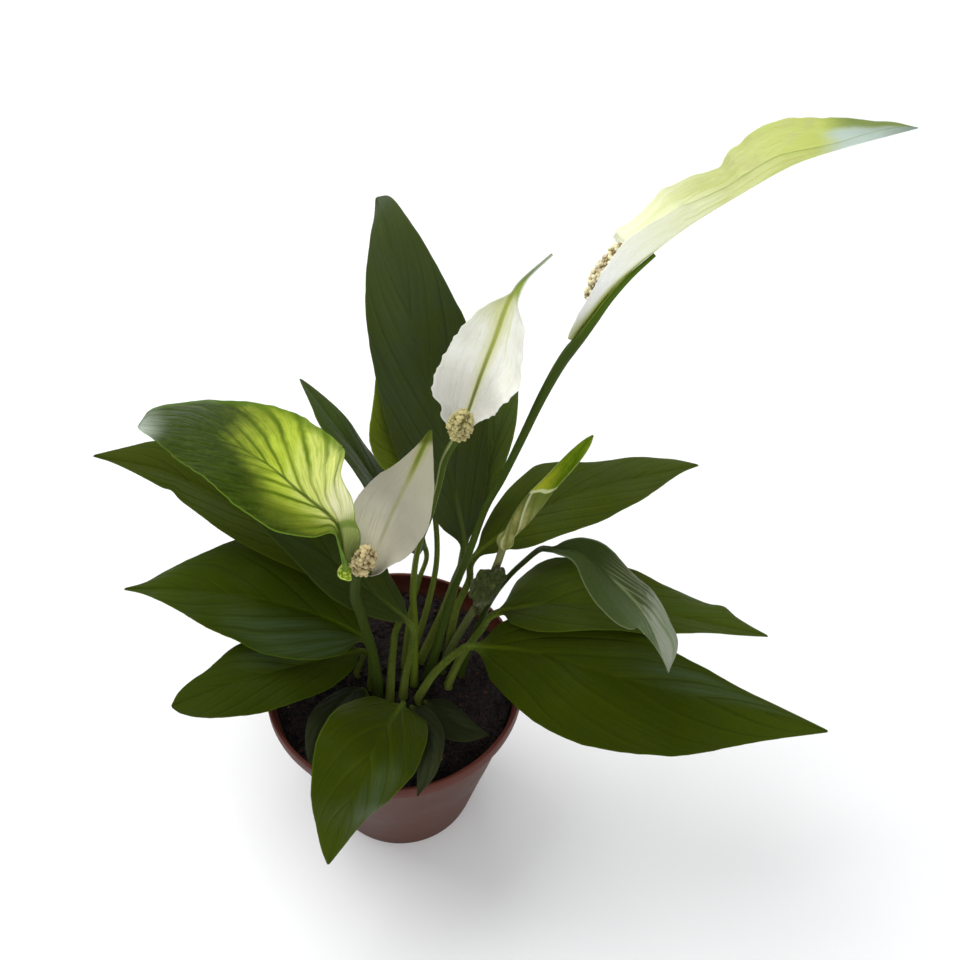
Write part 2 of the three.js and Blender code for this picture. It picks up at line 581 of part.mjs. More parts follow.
// The plain hole that a stem stands in.
function holeShape({ root, radius }) {
  const height = ROOT_DEPTH + STRAIGHT_ABOVE_SOIL;
  const wide = radius + 2 * GAP;
  return new THREE.CylinderGeometry(wide, wide, height, HOLE_SIDES).rotateX(Math.PI / 2)
    .translate(root[0], root[1], SOIL_LEVEL - ROOT_DEPTH + height / 2);
}

// A spathe: a thin curled blade whose first ring is a small closed foot against the stalk.
function spatheShape(form) {
  const stations = evenly(SPATHE_RINGS);
  const rolled = (u) => spread(form.roll, u);
  return skin(frames(throughPoints(form.rib), stations, headingOf(form.rib), rolled).map((frame, i) => (
    bladeRing(frame, stations[i], form, SPATHE_COLUMNS, SPATHE_THICKNESS, 0)
  )));
}

// Points of a stalk's top that runs on under a spathe's rib.
function keelPoints(form, { reach, radius }, first) {
  const stations = KEEL_STATIONS.map((t) => t * reach);
  const rolled = (u) => spread(form.roll, u);
  return frames(throughPoints(form.rib), stations, headingOf(form.rib), rolled).map(({ point, up }, i) => {
    const stalk = mix(first, radius, stations[i] / reach);
    return point.addScaledVector(up, -(stalk + SPATHE_THICKNESS / 2 + KEEL_CLEARANCE)).toArray();
  });
}

// The bud: round rings from its knob on, closer together there, then the rings of a blade curled round the
// same line, which is offset so that the hood grows out of the roll's near side.
function budShape({ roll, knob, waist, knobAt, knobReach, opens }) {
  const stations = [...KNOB_STATIONS, ...evenly(BUD_RINGS).map((t) => mix(BUD_ROLL_STARTS, 1, t))];
  const rolled = (u) => spread(roll.roll, u);
  return skin(frames(throughPoints(roll.rib), stations, headingOf(roll.rib), rolled).map((frame, i) => {
    const u = stations[i];
    const ball = knob * Math.sqrt(Math.max(KNOB_LEAST ** 2, 1 - ((u - knobAt) / knobReach) ** 2));
    const tube = waist * Math.min(1, WAIST_AT_FOOT + u);
    const round = roundRing(frame, Math.max(ball, tube), SPATHE_COLUMNS);
    const open = bladeRing(frame, u, roll, SPATHE_COLUMNS, SPATHE_THICKNESS, 0)
      .map((p) => p.addScaledVector(frame.up, -2 * waist * (1 - u)));
    return blendRings(round, open, smooth(u, ...opens));
  }));
}

// A knobbly club: alternate points of each ring stand out as the florets do.
function spadixShape({ from, to, radius }) {
  const axis = v3(to).sub(v3(from));
  const length = axis.length();
  const upright = new THREE.Vector3(0, 0, 1);
  const turn = new THREE.Quaternion().setFromUnitVectors(upright, axis.clone().normalize());
  const place = (r, angle, z) => new THREE.Vector3(r * Math.cos(angle), r * Math.sin(angle), z)
    .applyQuaternion(turn).add(v3(from));
  const points = [place(0, 0, 0)];
  for (let i = 0; i < SPADIX_RINGS; i += 1) {
    const t = i / (SPADIX_RINGS - 1);
    const past = Math.max(0, t - SPADIX_WIDEST) / (SPADIX_ROUNDNESS - SPADIX_WIDEST);
    const body = radius * Math.sqrt(1 - past ** 2) * mix(SPADIX_FOOT, 1, smooth(t, 0, SPADIX_WIDEST));
    for (let j = 0; j < SPADIX_SIDES; j += 1) {
      const out = (i + j) % 2 === 0 ? 1 + FLORET_BUMP : 1 - FLORET_BUMP;
      points.push(place(body * out, (2 * Math.PI * j) / SPADIX_SIDES, t * length * SPADIX_SHOULDER));
    }
  }
  points.push(place(0, 0, length));
  const top = points.length - 1;
  const at = (i, j) => 1 + i * SPADIX_SIDES + (j % SPADIX_SIDES);
  const triangles = [];
  for (let j = 0; j < SPADIX_SIDES; j += 1) {
    triangles.push([0, at(0, j + 1), at(0, j)], [top, at(SPADIX_RINGS - 1, j), at(SPADIX_RINGS - 1, j + 1)]);
    for (let i = 0; i < SPADIX_RINGS - 1; i += 1) {
      const [a, b, c, d] = [at(i, j), at(i, j + 1), at(i + 1, j + 1), at(i + 1, j)];
      if ((i + j) % 2 === 0) triangles.push([a, b, d], [b, c, d]);
      else triangles.push([a, b, c], [a, c, d]);
    }
  }
  return geometry(points, triangles);
}

// The pot: a tapered wall, a straight lip band, a foot ring and a flat middle foot on the ground, and drain
// holes between them.
function potShape() {
  const bodyTop = RIM_RADIUS - LIP_OVERHANG;
  const lipBottom = POT_HEIGHT - LIP_HEIGHT;
  const profile = [
    [0, 0],
    [FOOT_RADIUS, 0],
    [FOOT_RADIUS + POT_EDGE, FOOT_LIFT],
    [BASE_RADIUS - FOOT_RING_WIDTH - 2 * POT_EDGE, FOOT_LIFT],
    [BASE_RADIUS - FOOT_RING_WIDTH - POT_EDGE, 0],
    [BASE_RADIUS - POT_EDGE, 0],
    [BASE_RADIUS, POT_EDGE],
    [mix(BASE_RADIUS, bodyTop, 0.5), lipBottom * 0.5],
    [bodyTop, lipBottom],
    [RIM_RADIUS - LIP_EDGE, lipBottom],
    [RIM_RADIUS, lipBottom + LIP_EDGE],
    [RIM_RADIUS, POT_HEIGHT - LIP_EDGE],
    [RIM_RADIUS - LIP_EDGE, POT_HEIGHT],
    [RIM_RADIUS - POT_WALL + LIP_EDGE / 2, POT_HEIGHT],
    [RIM_RADIUS - POT_WALL, POT_HEIGHT - LIP_EDGE / 2],
    [RIM_RADIUS - POT_WALL, lipBottom + POT_EDGE],
    [bodyTop - POT_WALL, lipBottom - POT_EDGE],
    [BASE_RADIUS - POT_WALL, POT_FLOOR],
    [0, POT_FLOOR],
  ].map(([r, z]) => new THREE.Vector2(r, z));
  const bowl = new THREE.LatheGeometry(profile, POT_SIDES).rotateX(Math.PI / 2);
  let solid = toManifold(bowl);
  for (let i = 0; i < DRAIN_HOLES; i += 1) {
    const angle = (2 * Math.PI * (i + 0.5)) / DRAIN_HOLES;
    const drill = new THREE.CylinderGeometry(DRAIN_RADIUS, DRAIN_RADIUS, 4 * POT_FLOOR, DRAIN_SIDES)
      .rotateX(Math.PI / 2)
      .translate(DRAIN_CIRCLE * Math.cos(angle), DRAIN_CIRCLE * Math.sin(angle), 0);
    solid = solid.subtract(toManifold(drill));
  }
  return fromManifold(solid);
}

// The soil fills the pot up to its level, with an uneven top and a plain hole for each stem.
function soilShape(stems) {
  const bottom = POT_FLOOR + GAP;
  const wallAt = (z) => mix(BASE_RADIUS - POT_WALL, RIM_RADIUS - LIP_OVERHANG - POT_WALL,
    (z - POT_FLOOR) / (POT_HEIGHT - LIP_HEIGHT - POT_EDGE - POT_FLOOR));
  const topRadius = wallAt(SOIL_LEVEL) - 2 * GAP;
  const bottomRadius = wallAt(bottom) - 2 * GAP;
  const [spiral, counter] = SOIL_SPIRALS;
  const uneven = (r, angle) => Math.sin(spiral.pitch * r + spiral.arms * angle)
    * Math.cos(counter.pitch * r - counter.arms * angle);
  const points = [new THREE.Vector3(0, 0, SOIL_LEVEL)];
  for (let i = 1; i <= SOIL_RINGS; i += 1) {
    const r = (topRadius * i) / SOIL_RINGS;
    for (let j = 0; j < SOIL_SIDES; j += 1) {
      const angle = (2 * Math.PI * j) / SOIL_SIDES;
      const z = SOIL_LEVEL + (i < SOIL_RINGS ? SOIL_BUMP * uneven(r, angle) : -SOIL_EDGE);
      points.push(new THREE.Vector3(r * Math.cos(angle), r * Math.sin(angle), z));
    }
  }
  for (let j = 0; j < SOIL_SIDES; j += 1) {
    const angle = (2 * Math.PI * j) / SOIL_SIDES;
    points.push(new THREE.Vector3(bottomRadius * Math.cos(angle), bottomRadius * Math.sin(angle), bottom));
  }
  points.push(new THREE.Vector3(0, 0, bottom));
  const under = points.length - 1;
  const at = (i, j) => 1 + (i - 1) * SOIL_SIDES + (j % SOIL_SIDES);
  const triangles = [];
  for (let j = 0; j < SOIL_SIDES; j += 1) {
    triangles.push([0, at(1, j), at(1, j + 1)]);
    for (let i = 1; i <= SOIL_RINGS; i += 1) {
      triangles.push([at(i, j), at(i + 1, j), at(i + 1, j + 1)], [at(i, j), at(i + 1, j + 1), at(i, j + 1)]);
    }
    triangles.push([under, at(SOIL_RINGS + 1, j + 1), at(SOIL_RINGS + 1, j)]);
  }
  let solid = toManifold(geometry(points, triangles));
  for (const stem of stems) solid = solid.subtract(toManifold(holeShape(stem)));
  return fromManifold(solid);
}

// Assembly

const plant = new THREE.Group();

function place(name, shape, colour) {
  const mesh = new THREE.Mesh(shape, new THREE.MeshStandardMaterial({ ...COLOURS[colour] }));
  mesh.name = name;
  plant.add(mesh);
  return mesh;
}

const stems = [
  ...Object.values(LEAVES).map(({ root, petiole }) => ({
    root, radius: (petiole ?? PETIOLE_RADIUS) * PETIOLE_FLARE,
  })),
  ...[...Object.values(BLOOMS), BUD].map((bloom) => ({ root: bloom.root, radius: bloom.radius[0] })),
];

place('pot', potShape(), 'pot');
place('soil', soilShape(stems), 'soil');

for (const [name, leaf] of Object.entries(LEAVES)) {
  place(name, leafShape(leaf), leaf.young ? 'youngLeaf' : 'leaf');
}

for (const [name, bloom] of Object.entries(BLOOMS)) {
  const { spadix, knuckle, keel, stalk, root } = bloom;
  const seat = v3(spadix.from);
  const axis = v3(spadix.to).sub(seat).normalize();
  const top = keel ? keelPoints(Object.values(bloom.spathes)[0], keel, bloom.radius.at(-1))
    : [STRAIGHT_UNDER_SPADIX, GAP].map((back) => seat.clone().addScaledVector(axis, -back).toArray());
  const radii = keel ? [...bloom.radius, keel.radius] : bloom.radius;
  let stem = stalkShape([...buried(root), ...stalk, ...top], radii, keel ? LONG_STEM_RINGS : STEM_RINGS);
  if (knuckle) {
    const knob = new THREE.IcosahedronGeometry(knuckle.radius, 1).translate(...knuckle.at);
    stem = fromManifold(toManifold(stem).add(toManifold(knob)));
  }
  place(`stalk_${name}`, stem, 'stalk');
  for (const [spathe, form] of Object.entries(bloom.spathes)) place(spathe, spatheShape(form), form.colour);
  place(`spadix_${name}`, spadixShape(spadix), 'spadix');
}

place('stalk_bud', stalkShape([...buried(BUD.root), ...BUD.stalk], BUD.radius, STEM_RINGS), 'stalk');
place('bud', budShape(BUD), 'bud');
place('sheath_bud', spatheShape(SHEATH), 'youngLeaf');

export default plant;
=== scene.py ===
import math

import bpy
import numpy as np
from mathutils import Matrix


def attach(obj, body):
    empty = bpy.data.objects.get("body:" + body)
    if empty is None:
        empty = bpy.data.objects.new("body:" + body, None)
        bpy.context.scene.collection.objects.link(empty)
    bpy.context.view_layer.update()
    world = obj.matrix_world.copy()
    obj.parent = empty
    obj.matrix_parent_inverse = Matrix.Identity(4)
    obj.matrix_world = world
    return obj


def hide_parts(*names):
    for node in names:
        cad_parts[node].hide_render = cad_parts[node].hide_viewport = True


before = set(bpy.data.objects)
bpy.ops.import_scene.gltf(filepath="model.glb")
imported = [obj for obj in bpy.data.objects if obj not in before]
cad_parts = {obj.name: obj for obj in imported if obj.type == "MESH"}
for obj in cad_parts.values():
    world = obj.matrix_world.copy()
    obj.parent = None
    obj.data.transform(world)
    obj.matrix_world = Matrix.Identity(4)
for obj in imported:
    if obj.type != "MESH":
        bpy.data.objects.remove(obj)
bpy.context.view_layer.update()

# Lengths are millimetres, as in the part's source, and meshes are made in metres

MM = 0.001
SOIL_LEVEL = 88
ROOT_DEPTH = 12
STRAIGHT_ABOVE_SOIL = 2.5
STRAIGHT_UNDER_SPADIX = 4
GAP = 0.3
TIP_WIDTH = 0.5
BLADE_THICKNESS = 0.5
SPATHE_THICKNESS = 0.7
KEEL_CLEARANCE = 0.1
RIPPLE = 0.003

# A blade: the valley over its rib and that valley's width at the foot and the tip, how much thinner the margin
# is, and where between two side veins the relief neither rises nor sinks

VALLEY = 0.35
VALLEY_WIDTHS = (1.5, 0.5)
MARGIN_THINNING = 0.55
VEIN_LEVEL = 0.6

# A petiole: its radius in the CAD, its flare at the soil and where that ends, its share of the radius here,
# its breadth, and the depth and half angle of the groove on top of it; then the stretch of the blade in which
# it opens, and how fast the rib thins from there

PETIOLE_RADIUS = 1.9
PETIOLE_FLARE = 1.4
FLARE_ENDS = 0.7
PETIOLE_SHARE = 0.86
PETIOLE_BREADTH = 1.05
PETIOLE_GROOVE = 0.22
GROOVE_ANGLE = 0.5
BLADE_OPENS = (-0.02, 0.08)
RIB_TAPER = 1.4

# How finely the meshes are divided, and how much closer the rings lie at the foot of a leaf's blade

STEM_RINGS = 36
BLADE_RINGS = 110
BLADE_CROWDING = 1.15
STALK_SIDES = 24
KNUCKLE_RINGS = 14
SPADIX_RINGS = 84
SPADIX_SIDES = 108
COLUMNS = np.array([0.015, 0.04, 0.08, 0.14, 0.22, 0.31, 0.41, 0.51, 0.61, 0.71, 0.8, 0.88, 0.94, 0.98, 1])
COLUMNS = np.r_[-COLUMNS[::-1], 0, COLUMNS]
BUD_STATIONS = np.r_[np.linspace(0, 0.2, 26), np.linspace(0.21, 1, 100)]

# A spadix: its core's share of the radius, the share of that at its foot, and where it is widest; then its
# florets: their distance, height, uneven sizes, shifts and reach, how deep they sit, how closely they pack
# and the turn from one to the next

SPADIX_CORE = 0.84
SPADIX_FOOT = 0.45
SPADIX_WIDEST = 0.45
FLORET_PITCH = 1.75
FLORET_HEIGHT = 1.5
FLORET_SIZES = (0.15, 1.3)
FLORET_SHIFT = 0.3
FLORET_REACH = 0.53
FLORET_SEAT = 0.5
FLORET_PACKING = 0.87
GOLDEN_ANGLE = 2.399963

# Side veins: how far the first one has run on where it meets the margin, how much less the later ones do, and
# how they bend

VEINS_RUN = (0.55, 0.2, 1.0)
YOUNG_VEINS_RUN = (0.75, 0.3, 1.0)
BRACT_VEINS_RUN = (0.22, -0.45, 0.85)

# How bright green tissue is made beside its colour on the screen, and the tint of its gloss

LIGHT_SHARE = 0.9
LEAF_GLINT = (0.8, 1.0, 0.4, 1.0)
# The petioles: colour low down and higher up. Both are lighter than the petioles look, and the lower one most,
# to lift the shade among them: painted light
STEM_TONES = ((112, 124, 52), (84, 100, 34))

# Where a blade's colours turn to those of its underside, and of its petiole

UNDERSIDE = (0.3, -0.3)
BLADE_FOOT = (0.06, -0.03)

LEAVES = {
    "leaf_tall_back": dict(
        root=[12, 14], stem=[[21, 22, 112], [28, 24, 138]],
        rib=[[33, 25, 163], [28, 35, 197], [19, 44, 247], [9, 61, 286], [2, 79, 302], [-2, 97, 301]],
        edges=[[[0, 2], [0.1, 10], [0.2, 16], [0.32, 20], [0.45, 21], [0.58, 20], [0.7, 17.5], [0.8, 13],
            [0.86, 9], [0.93, 4], [1, 0.5]],
          [[0, 2], [0.1, 10], [0.2, 16], [0.35, 20.5], [0.5, 22.5], [0.62, 21.5], [0.71, 18.5],
            [0.81, 14.5], [0.9, 9.5], [0.97, 5], [1, 0.5]]],
        belly=0.45, taper=1.5, roll=[1, 42], fold=0.19, arch=0.2, lobe=0.15,
        wave=[0.8, 2.5, 0.1], veins=6, relief=0.45, colour=(57, 68, 36), shine=0.07, tip=1.1),
    # Coloured lighter than it looks, to lift the shade at the back of the plant: painted light
    "leaf_right_back": dict(
        root=[19, 20], stem=[[26, 25, 116], [30, 29, 137]],
        rib=[[33, 33, 156], [39, 39, 180], [47, 50, 208], [55, 66, 236]],
        left=14, right=8, belly=0.55, taper=1.6, roll=[6, -4], fold=0.26, arch=0.2, lobe=0.15,
        wave=[0.8, 2, 0.3], petiole=1.4, veins=5, relief=0.35, colour=(72, 86, 40)),
    "leaf_narrow_back": dict(
        root=[4, 11], stem=[[7, 25, 110], [12, 32, 130]],
        rib=[[15, 37, 147], [0, 36, 182], [-14, 41, 211], [-28, 53, 226], [-36, 59, 235]],
        left=16, right=12, belly=0.45, taper=1.1, roll=[-8, -30], fold=0.27, arch=0.2, lobe=0.15,
        wave=[1.2, 2, 0.6], petiole=1.4, veins=5, relief=0.35, colour=(58, 72, 30)),
    # Coloured lighter than it looks, to lift the shade at the back of the plant: painted light
    "leaf_short_back": dict(
        root=[9, 21], stem=[[15, 28, 112], [20, 34, 140], [20, 39, 166]],
        rib=[[17, 42, 189], [10, 50, 213], [5, 56, 238], [3, 67, 250]],
        left=21, right=19, belly=0.45, taper=1.9, roll=[-3, -20], fold=0.3, arch=0.2, lobe=0.3,
        wave=[1, 2, 0.2], petiole=1.4, veins=5, relief=0.35, colour=(100, 116, 34)),
    "leaf_long_left": dict(
        root=[-2, -7], stem=[[-1, 1, 103], [1, 5, 122]],
        rib=[[2, 8, 142], [-27, 22, 157], [-63, 41, 166], [-103, 66, 166], [-144, 88, 153]],
        edges=[[[0, 2], [0.1, 7], [0.25, 12], [0.46, 14], [0.56, 12.3], [0.64, 10], [0.68, 7.6], [0.71, 8],
            [0.76, 7], [0.84, 4.5], [0.93, 1.5], [1, 0.5]],
          [[0, 2], [0.12, 15], [0.25, 24], [0.4, 27], [0.55, 24.5], [0.7, 18.5], [0.83, 12], [0.9, 7.3],
            [1, 0.5]]],
        belly=0.4, taper=2.2, roll=[7, 16], fold=0.33, arch=0.2, lobe=0.15,
        wave=[1.2, 3, 0.1], veins=6, relief=0.4, colour=(50, 60, 12)),
    "leaf_upper_left": dict(
        root=[4, -6], stem=[[6, -3, 106], [9, -3, 126]],
        rib=[[9, -4, 146], [-12, 3, 166], [-35, 15, 184], [-57, 28, 193], [-73, 43, 190]],
        left=15, right=17, belly=0.42, taper=2.4, roll=[2, -10], fold=0.27, arch=0.2, lobe=0.15,
        wave=[1, 2.5, 0.4], veins=5, relief=0.35, colour=(49, 60, 24), shine=0.06),
    "leaf_mid_left": dict(
        root=[-11, 0], stem=[[-10, 0, 107]],
        rib=[[-12, 1, 126], [-32, 7, 136], [-64, 14, 141], [-99, 29, 126], [-131, 44, 106]],
        edges=[[[0, 3], [0.07, 12], [0.15, 19.5], [0.22, 23], [0.3, 24.5], [0.36, 24], [0.41, 21.8],
            [0.48, 20], [0.56, 16.5], [0.65, 12], [0.77, 7], [0.9, 2.5], [1, 0.5]],
          [[0, 4], [0.1, 20], [0.2, 29], [0.3, 32], [0.42, 31], [0.56, 26], [0.65, 19], [0.75, 13],
            [0.82, 9], [0.9, 3.5], [1, 0.5]]],
        belly=0.3, taper=2, roll=[15, 12], fold=0.34, arch=0.25, lobe=0.3,
        wave=[1.4, 3, 0.2], veins=6, relief=0.55, colour=(47, 60, 6), shine=0.03, rim=0.6,
        cool=(0.2, -0.6, 0.36)),
    "leaf_low_left": dict(
        root=[-18, 7], stem=[[-15, 7, 101]],
        rib=[[-15, 5, 111], [-37, -8, 121], [-68, -16, 118], [-101, -18, 100]],
        edges=[[[0, 2], [0.12, 9], [0.28, 15], [0.5, 17.3], [0.69, 14.5], [0.86, 9.5], [0.96, 4.5], [1, 0.5]],
          [[0, 2], [0.12, 9], [0.28, 15], [0.45, 18], [0.6, 16], [0.69, 13], [0.77, 10], [0.87, 7.5],
            [0.95, 4.5], [1, 0.5]]],
        belly=0.48, taper=1.8, roll=[11, 22], fold=0.23, arch=0.2, lobe=0.2,
        wave=[1, 3, 0.5], petiole=1.5, veins=6, relief=0.5, colour=(48, 60, 10), shine=0.04, tip=1.3,
        cool=(0.35, 0.5, 0.34)),
    "leaf_front": dict(
        root=[4, -14], stem=[[5, -18, 102]],
        rib=[[5, -27, 115], [-1, -45, 126], [-7, -62, 130], [-14, -74, 119], [-21, -79, 100], [-26, -88, 84]],
        edges=[[[0, 5], [0.02, 9], [0.08, 13], [0.16, 16.5], [0.24, 19], [0.33, 20.5], [0.45, 20.5],
            [0.57, 16.5], [0.74, 12.5], [0.87, 7], [1, 0.5]],
          [[0, 7], [0.1, 14.5], [0.22, 19.5], [0.34, 22.5], [0.46, 23], [0.55, 20.5], [0.66, 16.5],
            [0.74, 13], [0.83, 9], [0.93, 4.5], [1, 0.5]]],
        belly=0.34, taper=1.5, roll=[3, 48], fold=0.12, arch=0.25, lobe=0.6,
        wave=[1, 2.5, 0.3], petiole=1.5, veins=5, relief=0.5, colour=(52, 64, 8), shine=0.05, rim=0.6,
        vein_light=0.25, cool=(0.6, -0.5, 0.3)),
    "leaf_large_right": dict(
        root=[11, -8], stem=[[19, -4, 106], [30, -3, 122]],
        rib=[[38, -6, 131], [66, -19.5, 146], [91, -32, 150.5], [123, -37, 142.5], [158, -34, 124.5],
            [197, -31, 100]],
        edges=[[[0, 2], [0.1, 13], [0.2, 19], [0.32, 22.5], [0.42, 22], [0.51, 18.5], [0.6, 14], [0.71, 8],
            [0.84, 4.5], [1, 0.5]],
          [[0, 5], [0.08, 14.5], [0.16, 22.5], [0.25, 28.5], [0.38, 31.5], [0.53, 28], [0.62, 23.5],
            [0.73, 17], [0.85, 9.5], [1, 0.5]]],
        belly=0.34, taper=2.1, roll=[-24, -16], fold=0.19, arch=0.25, lobe=0.3,
        wave=[1.2, 3, 0.7], veins=5, relief=0.45, colour=(50, 62, 8), tip=1.9,
        vein_light=0.18, cool=(0.64, -0.4, 0.34)),
    "leaf_mid_right": dict(
        root=[25, 0], stem=[[31, 3, 108], [40, 5, 127]],
        rib=[[49, 5, 142], [82, -2, 159], [119, -1, 150], [171, 5, 123]],
        edges=[[[0, 6], [0.06, 13], [0.13, 19], [0.2, 22.5], [0.32, 23], [0.48, 21], [0.59, 15.5],
            [0.67, 14], [0.78, 10.8], [0.84, 10.8], [0.88, 6.5], [1, 0.5]],
          [[0, 2], [0.1, 10], [0.2, 15], [0.33, 17], [0.51, 14], [0.61, 11], [0.67, 9.5], [0.81, 5],
            [0.94, 2], [1, 0.5]]],
        belly=0.33, taper=1.6, roll=[2, 7], fold=0.29, arch=0.2, lobe=0.3,
        wave=[1.2, 3, 0.1], veins=6, relief=0.4, colour=(60, 73, 18), shine=0.05, tip=1.5),
    "leaf_young_drooping": dict(
        root=[31, 7], stem=[[36, 9, 112], [44, 14, 136], [52, 12, 158], [60, 7, 178], [65, 0, 194]],
        rib=[[69, -7, 203], [81, -10, 205], [94, -16, 195], [108, -25, 181], [117, -46, 171]],
        edges=[[[0, 2], [0.1, 4.5], [0.24, 8], [0.39, 9], [0.51, 10], [0.63, 12.5], [0.75, 12], [0.84, 13],
            [0.92, 9], [1, 0.5]],
          [[0, 3], [0.17, 8], [0.24, 13], [0.35, 19.5], [0.46, 24], [0.55, 24], [0.66, 21], [0.76, 16],
            [0.84, 9], [0.92, 4], [1, 0.5]]],
        belly=0.55, taper=1.5, roll=[-5, 45], fold=0.45, arch=0.2, lobe=0.1,
        wave=[0.8, 2, 0.2], petiole=1.5, veins=5, relief=0.5, colour=(70, 86, 40), shine=0.1),
    "leaf_upper_right": dict(
        root=[24, 15], stem=[[29, 19, 124], [35, 22, 142]],
        rib=[[38, 24, 158], [62, 33, 176], [93, 44, 182], [142, 76, 160]],
        edges=[[[0, 2], [0.12, 10], [0.25, 19], [0.34, 22.5], [0.41, 20], [0.51, 16], [0.6, 14.5],
            [0.73, 12], [0.85, 8.5], [0.92, 6], [1, 0.5]],
          [[0, 2], [0.13, 8.5], [0.17, 12], [0.25, 16.5], [0.44, 17.5], [0.54, 15.5], [0.61, 14],
            [0.7, 10], [0.82, 5], [0.92, 1.8], [1, 0.5]]],
        belly=0.37, taper=2.3, roll=[2, -2], fold=0.22, arch=0.2, lobe=0.2,
        wave=[1.2, 3, 0.4], veins=6, relief=0.35, colour=(61, 73, 22), tip=1.4),
    # The three small leaves are coloured darker for the shade they sit in: painted shade
    "leaf_small_left": dict(
        root=[-11, -13], stem=[],
        rib=[[-14, -8, 99], [-21, -18, 107], [-30, -34, 110], [-35, -50, 104]],
        left=10, right=8, belly=0.5, taper=1.6, roll=[-9, -2], fold=0.22, arch=0.2, lobe=0.2,
        wave=[0.5, 2, 0.1], petiole=1.1, veins=4, relief=0.3, colour=(36, 41, 26)),
    "leaf_small_front": dict(
        root=[11, -15], stem=[],
        rib=[[9, -21, 104], [17, -40, 111], [18, -57, 115], [13, -68, 108]],
        left=7.5, right=10, belly=0.32, taper=1.4, roll=[-6, -4], fold=0.27, arch=0.2, lobe=0.2,
        wave=[0.5, 2, 0.6], petiole=1.1, veins=4, relief=0.3, colour=(38, 42, 26), tip=2.4),
    "leaf_small_right": dict(
        root=[17, -12], stem=[],
        rib=[[15, -15, 99], [24, -25, 104], [33, -31, 103], [44, -33, 100]],
        left=7, right=10, belly=0.42, taper=1.9, roll=[1, -2], fold=0.22, arch=0.2, lobe=0.2,
        wave=[0.4, 2, 0.3], petiole=1, veins=4, relief=0.3, colour=(32, 36, 20)),
}

